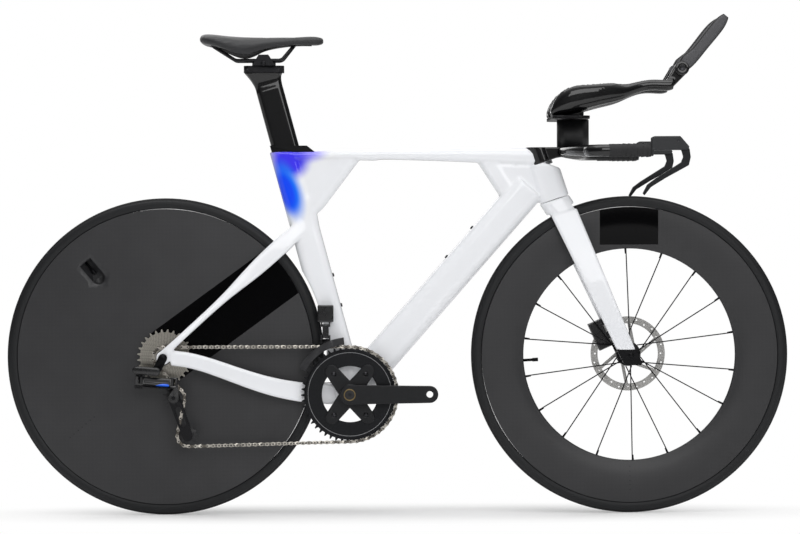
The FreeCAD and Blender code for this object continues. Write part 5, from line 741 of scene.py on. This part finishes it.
# A machined edge: bare metal, a fine silver line.
silver = grained("bare_machined_edge", "#8F9092", "#B2B3B5", grain=0.8,
                 rough=(0.25, 0.36), relief=0.004, Metallic=1)
turned_on("crank_cap_ring", "right_crank", CRANK_FACE, CAP_RING_SECTION, bronze)
turned_on("crank_cap", "right_crank", CRANK_FACE, CRANK_CAP_SECTION, shell_nylon)
turned_on("ring_edge_line", "large_chainring", RING_FACE, EDGE_LINE_SECTION, silver)

# Rear derailleur: a forged linkage in black resin and alloy on the hanger, with a long cage of steel
# plates and two toothed nylon pulleys. One accent of blue is printed on the outer link.
BREAK_SHARE = 0.7
FLAT_TURN = 1
PANEL_CREASE = 35


def panelled(piece, margin, rise):
    """Raises a panel with broken edges on the flat face that looks most to the drive side."""
    shape = bmesh.new()
    shape.from_mesh(piece.data)
    bmesh.ops.dissolve_limit(shape, angle_limit=math.radians(FLAT_TURN), verts=shape.verts,
                             edges=shape.edges)
    face = max(shape.faces, key=lambda face: -face.normal.y * face.calc_area())
    bmesh.ops.inset_region(shape, faces=[face], thickness=margin * MM, use_even_offset=True)
    raised = bmesh.ops.extrude_face_region(shape, geom=[face])["geom"]
    verts = [part for part in raised if isinstance(part, bmesh.types.BMVert)]
    bmesh.ops.delete(shape, geom=[face], context="FACES_ONLY")
    top = next(part for part in raised if isinstance(part, bmesh.types.BMFace))
    bmesh.ops.translate(shape, verts=verts, vec=top.normal * rise * MM)
    bmesh.ops.bevel(shape, geom=list(top.edges), offset=rise * BREAK_SHARE * MM, segments=3,
                    profile=0.5, affect="EDGES", material=-1)
    shape.to_mesh(piece.data)
    shape.free()
    piece.data.set_sharp_from_angle(angle=math.radians(PANEL_CREASE))


# Painted alloy: black under a thin clear coat, with soft highlights.
DERAILLEUR_BASE = ("#0B0B0D", "#151517")
derailleur_black = grained("painted_derailleur_alloy", *DERAILLEUR_BASE, grain=2.2,
                           rough=(0.2, 0.36), relief=0.01, Coat_Weight=0.5, Coat_Roughness=0.12)
crisp("rear_derailleur_inner_link", derailleur_black)
crisp("rear_derailleur_knuckle", derailleur_black)
panelled(crisp("rear_derailleur_mount", derailleur_black), margin=2.5, rise=1.6)
# Lacquered alloy with one printed patch: a hard-edged spot of clear blue on black.
PRINT_EDGE_SHARE = 0.08
LINK_PRINT = ("#1C6DFF", (-499, 0, 279), (17, THROUGH, 6), -8, PRINT_EDGE_SHARE)
link_paint = lacquer("painted_link_with_print", DERAILLEUR_BASE, (LINK_PRINT,))
panelled(crisp("rear_derailleur_outer_link", link_paint), margin=2.5, rise=3)
# Blacked steel sheet: dark with a thin bright edge.
cage_steel = grained("black_cage_steel", "#111113", "#1C1C1F", grain=1.4,
                     rough=(0.28, 0.42), relief=0.006, Metallic=0.6)
crisp("rear_derailleur_cage", cage_steel)
# Moulded nylon: a flat dark grey.
pulley_nylon = grained("moulded_pulley_nylon", "#151517", "#202023", grain=1,
                       rough=(0.45, 0.6), relief=0.02)
crisp("guide_pulley", pulley_nylon)
crisp("tension_pulley", pulley_nylon)

# Front derailleur: a moulded motor housing bolted to the seat tube, a short swinging arm and a bent
# steel cage over the large ring.
moulded("front_derailleur_housing", ("front_derailleur_body",), derailleur_black, cell=1, rounds=12)
moulded("front_derailleur_arm", ("front_derailleur_link",), derailleur_black, cell=0.6, rounds=3)
# Guide steel: black, with a painted highlight of grey mottled over it.
guide_steel = grained("guide_steel_painted_highlight", "#1E1E20", "#5A5A5C", grain=6,
                      rough=(0.25, 0.4), relief=0.006, Metallic=0.9)
crisp("front_derailleur_cage", guide_steel)

# Brake calipers: forged alloy bodies, painted black and bolted flat to the frame and fork, with a
# pad on each side of the rotor. A turned cap closes each piston's bore.
PISTON_SECTION = ((0, 0.5), (2.6, 0.5), (3, 0.9), (6.6, 0.9), (7.2, 0.3), (8.6, 0.3), (9.2, -0.4))
PISTON_PLACE = {"front": (436.4, 54.3, 379.5), "rear": (-430.3, 70, 368.5)}
for end in ("front", "rear"):
    moulded(end + "_caliper_forging", (end + "_caliper",), derailleur_black, cell=0.8, rounds=6)
for end in ("front", "rear"):
    turned_on(end + "_piston_cap", end + "_caliper", Vector(PISTON_PLACE[end]) * MM,
              PISTON_SECTION, bolt_steel, side=1)

# Stem and base bar: carbon mouldings under black lacquer, clamped to the steerer. The bar is a flat
# wing that turns forward into two round grips.
moulded("stem_shell", ("stem",), black_lacquer, cell=0.9, rounds=5)
moulded("base_bar_wing", ("base_bar",), black_lacquer, cell=1.3, rounds=5)

# Bar tape: a strip of cushioned polymer wound round each grip, every turn lapping the last, and a
# finishing band at the rear end.
TAPE_SPREAD = 195
TAPE_HEIGHT = 771
TAPE_SIDES = 48
TAPE_CUTS = 72
TAPE_PITCH = 11
TAPE_CREASE = 50
# Each run has its two ends along the bar, its radius and the rise of a lap.
TAPE_RUNS = ((469.4, 529.3, 14.7, 1.3), (442.4, 469.3, 13.6, 0.2))


def wound(shape, side):
    """Adds one grip's tape: sleeves whose skin steps up at each lap of a helix."""
    for start, end, radius, lap in TAPE_RUNS:
        centre = Vector(((start + end) / 2, side * TAPE_SPREAD, TAPE_HEIGHT)) * MM
        rims = set(add_cone(shape, centre, Vector((1, 0, 0)), (radius, radius), end - start,
                            TAPE_SIDES))
        runs = [edge for edge in shape.edges if rims.issuperset(edge.verts)
                and abs(edge.verts[0].co.x - edge.verts[1].co.x) > TAPE_PITCH * MM]
        bmesh.ops.subdivide_edges(shape, edges=runs, cuts=TAPE_CUTS, use_grid_fill=True)
        for vert in shape.verts:
            if vert.co.y * side > 0 and start * MM - WELD < vert.co.x < end * MM + WELD:
                out = Vector((0, vert.co.y - centre.y, vert.co.z - centre.z))
                turn = math.atan2(out.z, out.y) / math.tau
                step = (vert.co.x / (TAPE_PITCH * MM) + turn) % 1
                vert.co -= out.normalized() * (step * lap * MM)


tape_shape = bmesh.new()
wound(tape_shape, -1)
wound(tape_shape, 1)
bmesh.ops.recalc_face_normals(tape_shape, faces=tape_shape.faces)
tape = new_object("bar_tape_wraps", tape_shape)
# Cushioned polymer: a soft matt black that hardly shines.
tape_skin = grained("cushioned_bar_tape", "#151517", "#232325", grain=1.5,
                    rough=(0.6, 0.75), relief=0.06)
shade(tape, tape_skin, TAPE_CREASE)
stand_for(tape, "bar_tape")

# Brake lever bodies and blades: moulded housings plugged into the bar ends, and forged blades that
# hang in front of them on a cross pin.

# Moulded nylon: a blue-black satin.
lever_nylon = grained("moulded_lever_nylon", "#121417", "#1C1E22", grain=1.1,
                      rough=(0.34, 0.48), relief=0.02)
# Anodised alloy: the same black, with a sharper glint.
lever_alloy = grained("anodised_lever_alloy", "#0E1013", "#181A1E", grain=1,
                      rough=(0.26, 0.38), relief=0.008, Metallic=0.4)
moulded("lever_housings", ("lever_bodies",), lever_nylon, cell=0.9, rounds=6)
moulded("lever_blade_right", ("brake_lever_right",), lever_alloy, cell=0.7, rounds=7)
moulded("lever_blade_left", ("brake_lever_left",), lever_alloy, cell=0.7, rounds=7)

# Riser stack and bridge plate: moulded spacers bolted between the stem and a machined alloy plate
# that carries the rests.

# Satin polymer: a plain soft black.
spacer_black = grained("satin_spacer_polymer", "#101012", "#1A1A1C", grain=1.4,
                       rough=(0.42, 0.56), relief=0.02)
crisp("riser_spacers", spacer_black)
crisp("bridge_plate", black_alloy)

# Forearm rests and extensions: carbon troughs under black lacquer that draw in to the handles, bolted
# to the bridge plate. Their upper edges are swelled.
rests = moulded("arm_rest_troughs", ("arm_rests",), black_lacquer, cell=1.4, rounds=6)
drawn_out(rests, start=(345, 0, 900), end=(450, 0, 908), reach=42, way=(0, 0, 6))

# Forearm pads: soft foam under a knitted cover, stuck to the floors of the troughs. The foam fills
# the cover, so each pad is round on top.

# Knitted cover: black, dull and a little fuzzy at its edges.
pad_knit = grained("knitted_pad_cover", "#121214", "#202022", grain=1.2, rough=(0.8, 0.95),
                   relief=0.12, Sheen_Weight=0.4, Sheen_Roughness=0.6)
stuffed("forearm_pads", "arm_pads", pad_knit, cell=4, inset=1.2, cap=3)

# Grips: moulded handles that turn on the lugs of the rests, with a rubber face and a parting line
# round the sides. They are drawn in a little towards their upper ends.

# Moulded polymer: a mid-grey face, and a black edge where the skin turns away from the side.
FACE_LOOK = (0.66, 0.74)
grip_skin = grained("moulded_grip_polymer", "#424245", "#505053", grain=1.2,
                    rough=(0.5, 0.62), relief=0.006)
tree = grip_skin.node_tree
shader = tree.nodes["Principled BSDF"]
face_tone = shader.inputs["Base Color"].links[0].from_socket
look = add_node(tree, "SeparateXYZ", {"Vector": add_node(tree, "TexCoord").outputs["Normal"]})
flat = add_node(tree, "Math", {0: look.outputs["Y"]}, operation="ABSOLUTE")
panel = add_node(tree, "MapRange", {
    "Value": flat.outputs["Value"], "From Min": FACE_LOOK[0], "From Max": FACE_LOOK[1]})
tone = add_node(tree, "Mix", {
    "Factor": panel.outputs["Result"], 6: linear("#121214"), 7: face_tone}, data_type="RGBA")
feed(shader, Base_Color=tone.outputs[2])
GRIP_PIVOT = Vector((604.9, 0, 947.1)) * MM
GRIP_LEAN = math.radians(51)
GRIP_NECK = 20
GRIP_BLEND = 25
GRIP_SHIFT = 3.5
GRIP_DRAW_SHARE = 0.206
grip_up = Vector((math.cos(GRIP_LEAN), 0, math.sin(GRIP_LEAN)))
grip_out = Vector((math.sin(GRIP_LEAN), 0, -math.cos(GRIP_LEAN)))
for side in ("right", "left"):
    grip = crisp("grip_" + side, grip_skin)
    for vertex in grip.data.vertices:
        beside = vertex.co - GRIP_PIVOT
        share = min(max((beside.dot(grip_up) / MM - GRIP_NECK) / GRIP_BLEND, 0), 1)
        draw = GRIP_SHIFT * MM - beside.dot(grip_out) * GRIP_DRAW_SHARE
        vertex.co += grip_out * share * draw

# Pivot caps and clamp screws: turned lacquered caps on the grips' pivots, and socket-head screws in
# black steel, let into the grips' cheeks, the lever housings and the saddle clamp.
SCREW_SIDES = 18
SCREW_STAND = 0.4
SCREW_RIM_SHARE = 0.86
SOCKET_WALL_SHARE = 0.4


def screws(name, node, rows):
    """Screw heads on the side faces: each has a broken rim and a socket sunk into it."""
    shape = bmesh.new()
    for x, y, z, radius in rows:
        outward = Vector((0, math.copysign(1, y), 0))
        head = add_cone(shape, Vector((x, y, z)) * MM, outward,
                        (radius, radius * SCREW_RIM_SHARE), 2 * SCREW_STAND, SCREW_SIDES)
        faces = {face for vert in head for face in vert.link_faces}
        top = max(faces, key=lambda face: face.calc_center_median().dot(outward))
        bmesh.ops.inset_region(shape, faces=[top], thickness=radius * SOCKET_WALL_SHARE * MM)
        bmesh.ops.translate(shape, verts=top.verts, vec=-outward * SCREW_STAND * MM)
    fitted_to(node, name, shape, bolt_steel)


GRIP_CHEEK = 85.4
GRIP_SCREW_RADIUS = 5
BOSS_SECTION = ((5.6, -0.3), (5.6, 0.5), (6.4, 0.9), (12.8, 0.9), (14, 0.5), (14.6, -0.3))
SIDES = (-1, 1)
for name, side in zip(("right", "left"), SIDES):
    cheek = Vector((GRIP_PIVOT.x, side * GRIP_CHEEK * MM, GRIP_PIVOT.z))
    turned_on("grip_boss_" + name, "grip_" + name, cheek, BOSS_SECTION, black_lacquer, side)
    screws("grip_screw_" + name, "grip_" + name, [(*(cheek / MM), GRIP_SCREW_RADIUS)])
screws("lever_pins", "lever_bodies", [(585.45, side * 207.1, 790.72, 3.2) for side in SIDES])
screws("saddle_clamp_screws", "saddle_clamp",
       [(x, side * 17.9, 952.5, 3) for x in (-249, -316) for side in SIDES])

# Studio floor: a sheet of pale seamless paper under the wheels. It keeps the bicycle's shadow, and to
# the camera it fades out into the white backdrop.
FLOOR_HALF = 5
SHADOW_SPREAD = (0.85, 3.6, 1)
SHADOW_CORE = 0.15
WHITE = (1, 1, 1, 1)
floor_shape = bmesh.new()
bmesh.ops.create_grid(floor_shape, x_segments=1, y_segments=1, size=FLOOR_HALF)
floor = new_object("studio_floor", floor_shape)
# Matt paper: no shine, only the soft shadow.
paper, tree, shader = new_finish("seamless_paper", Roughness=0.9, Specular_IOR_Level=0,
                                 Base_Color=linear("#F8F8F8"))
drawn = add_node(tree, "Mapping", {
    "Vector": add_node(tree, "TexCoord").outputs["Object"], "Scale": SHADOW_SPREAD})
reach = add_node(tree, "VectorMath", {"Vector": drawn.outputs["Vector"]}, operation="LENGTH")
far = add_node(tree, "MapRange", {"Value": reach.outputs["Value"], "From Min": SHADOW_CORE},
               interpolation_type="SMOOTHSTEP")
sight_ray = add_node(tree, "LightPath").outputs["Is Camera Ray"]
away = add_node(tree, "Math", {0: far.outputs["Result"], 1: sight_ray}, operation="MULTIPLY")
white = add_node(tree, "Emission", {"Color": WHITE, "Strength": 1})
mixed = add_node(tree, "MixShader", {
    "Fac": away.outputs["Value"], 1: shader.outputs["BSDF"], 2: white.outputs["Emission"]})
feed(tree.nodes["Material Output"], Surface=mixed.outputs["Shader"])
floor.data.materials.append(paper)

# Studio room: white walls to the camera. Polished parts see darker walls and a brighter ceiling, and
# everything else gets an even light.
ROOM_LEVEL = 0.5
WALL_LEVEL = 0.08
CEILING_LEVEL = 0.75
CEILING_RISE = (0.25, 0.95)
world = bpy.data.worlds.new("studio_room")
bpy.context.scene.world = world
world.use_nodes = True
room = world.node_tree
ray = add_node(room, "LightPath").outputs
way = add_node(room, "SeparateXYZ", {"Vector": add_node(room, "TexCoord").outputs["Generated"]})
ceiling = add_node(room, "MapRange", {
    "Value": way.outputs["Z"], "From Min": CEILING_RISE[0], "From Max": CEILING_RISE[1],
    "To Min": WALL_LEVEL, "To Max": CEILING_LEVEL}, interpolation_type="SMOOTHSTEP")
mirrored_ray = add_node(room, "Math", {
    0: ray["Is Glossy Ray"], 1: ray["Is Transmission Ray"]}, operation="MAXIMUM")
lit = add_node(room, "MapRange", {
    "Value": mirrored_ray.outputs["Value"], "To Min": ROOM_LEVEL,
    "To Max": ceiling.outputs["Result"]})
level = add_node(room, "MapRange", {
    "Value": ray["Is Camera Ray"], "To Min": lit.outputs["Result"], "To Max": 1})
feed(room.nodes["Background"], Strength=level.outputs["Result"])
room.nodes["Background"].inputs["Color"].default_value = WHITE

# Lamps: a wide soft box above and a soft fill on either side, all aimed at the middle of the
# bicycle. Each has its place and size in metres and its power in watts.
LAMP_AIM = Vector((0, 0, 0.5))
LAMPS = (
    ("top_box", (0, -0.6, 3.4), (3.4, 2.2), 44),
    ("front_fill", (0.8, -4.2, 2.2), (3, 2), 52),
    ("back_fill", (-0.8, 3.6, 2.2), (3, 2), 30),
)
for name, spot, size, power in LAMPS:
    lamp = bpy.data.lights.new(name, "AREA")
    lamp.shape = "RECTANGLE"
    lamp.size, lamp.size_y = size
    lamp.energy = power
    lamp_object = bpy.data.objects.new(name, lamp)
    bpy.context.collection.objects.link(lamp_object)
    lamp_object.location = spot
    aim = LAMP_AIM - Vector(spot)
    lamp_object.rotation_euler = aim.to_track_quat("-Z", "Y").to_euler()

# Camera: a long lens square to the drive side, a little above the axles, and turned by a fraction
# of a degree as in the picture.
CAMERA_PLACE = Vector((0.0064, -6.5, 0.612))
CAMERA_AIM = Vector((0.0064, 0, 0.5283))
CAMERA_ROLL = math.radians(-0.2845)
VIEW_WIDTH = 1.7144
SENSOR_WIDTH = 36
camera_data = bpy.data.cameras.new("studio_camera")
camera = bpy.data.objects.new("studio_camera", camera_data)
bpy.context.collection.objects.link(camera)
sight = CAMERA_AIM - CAMERA_PLACE
camera.location = CAMERA_PLACE
turned = sight.to_track_quat("-Z", "Y").to_matrix() @ Matrix.Rotation(CAMERA_ROLL, 3, "Z")
camera.rotation_euler = turned.to_euler()
camera_data.sensor_width = SENSOR_WIDTH
camera_data.lens = SENSOR_WIDTH * sight.length / VIEW_WIDTH
bpy.context.scene.camera = camera
bpy.context.scene.view_settings.view_transform = "Standard"
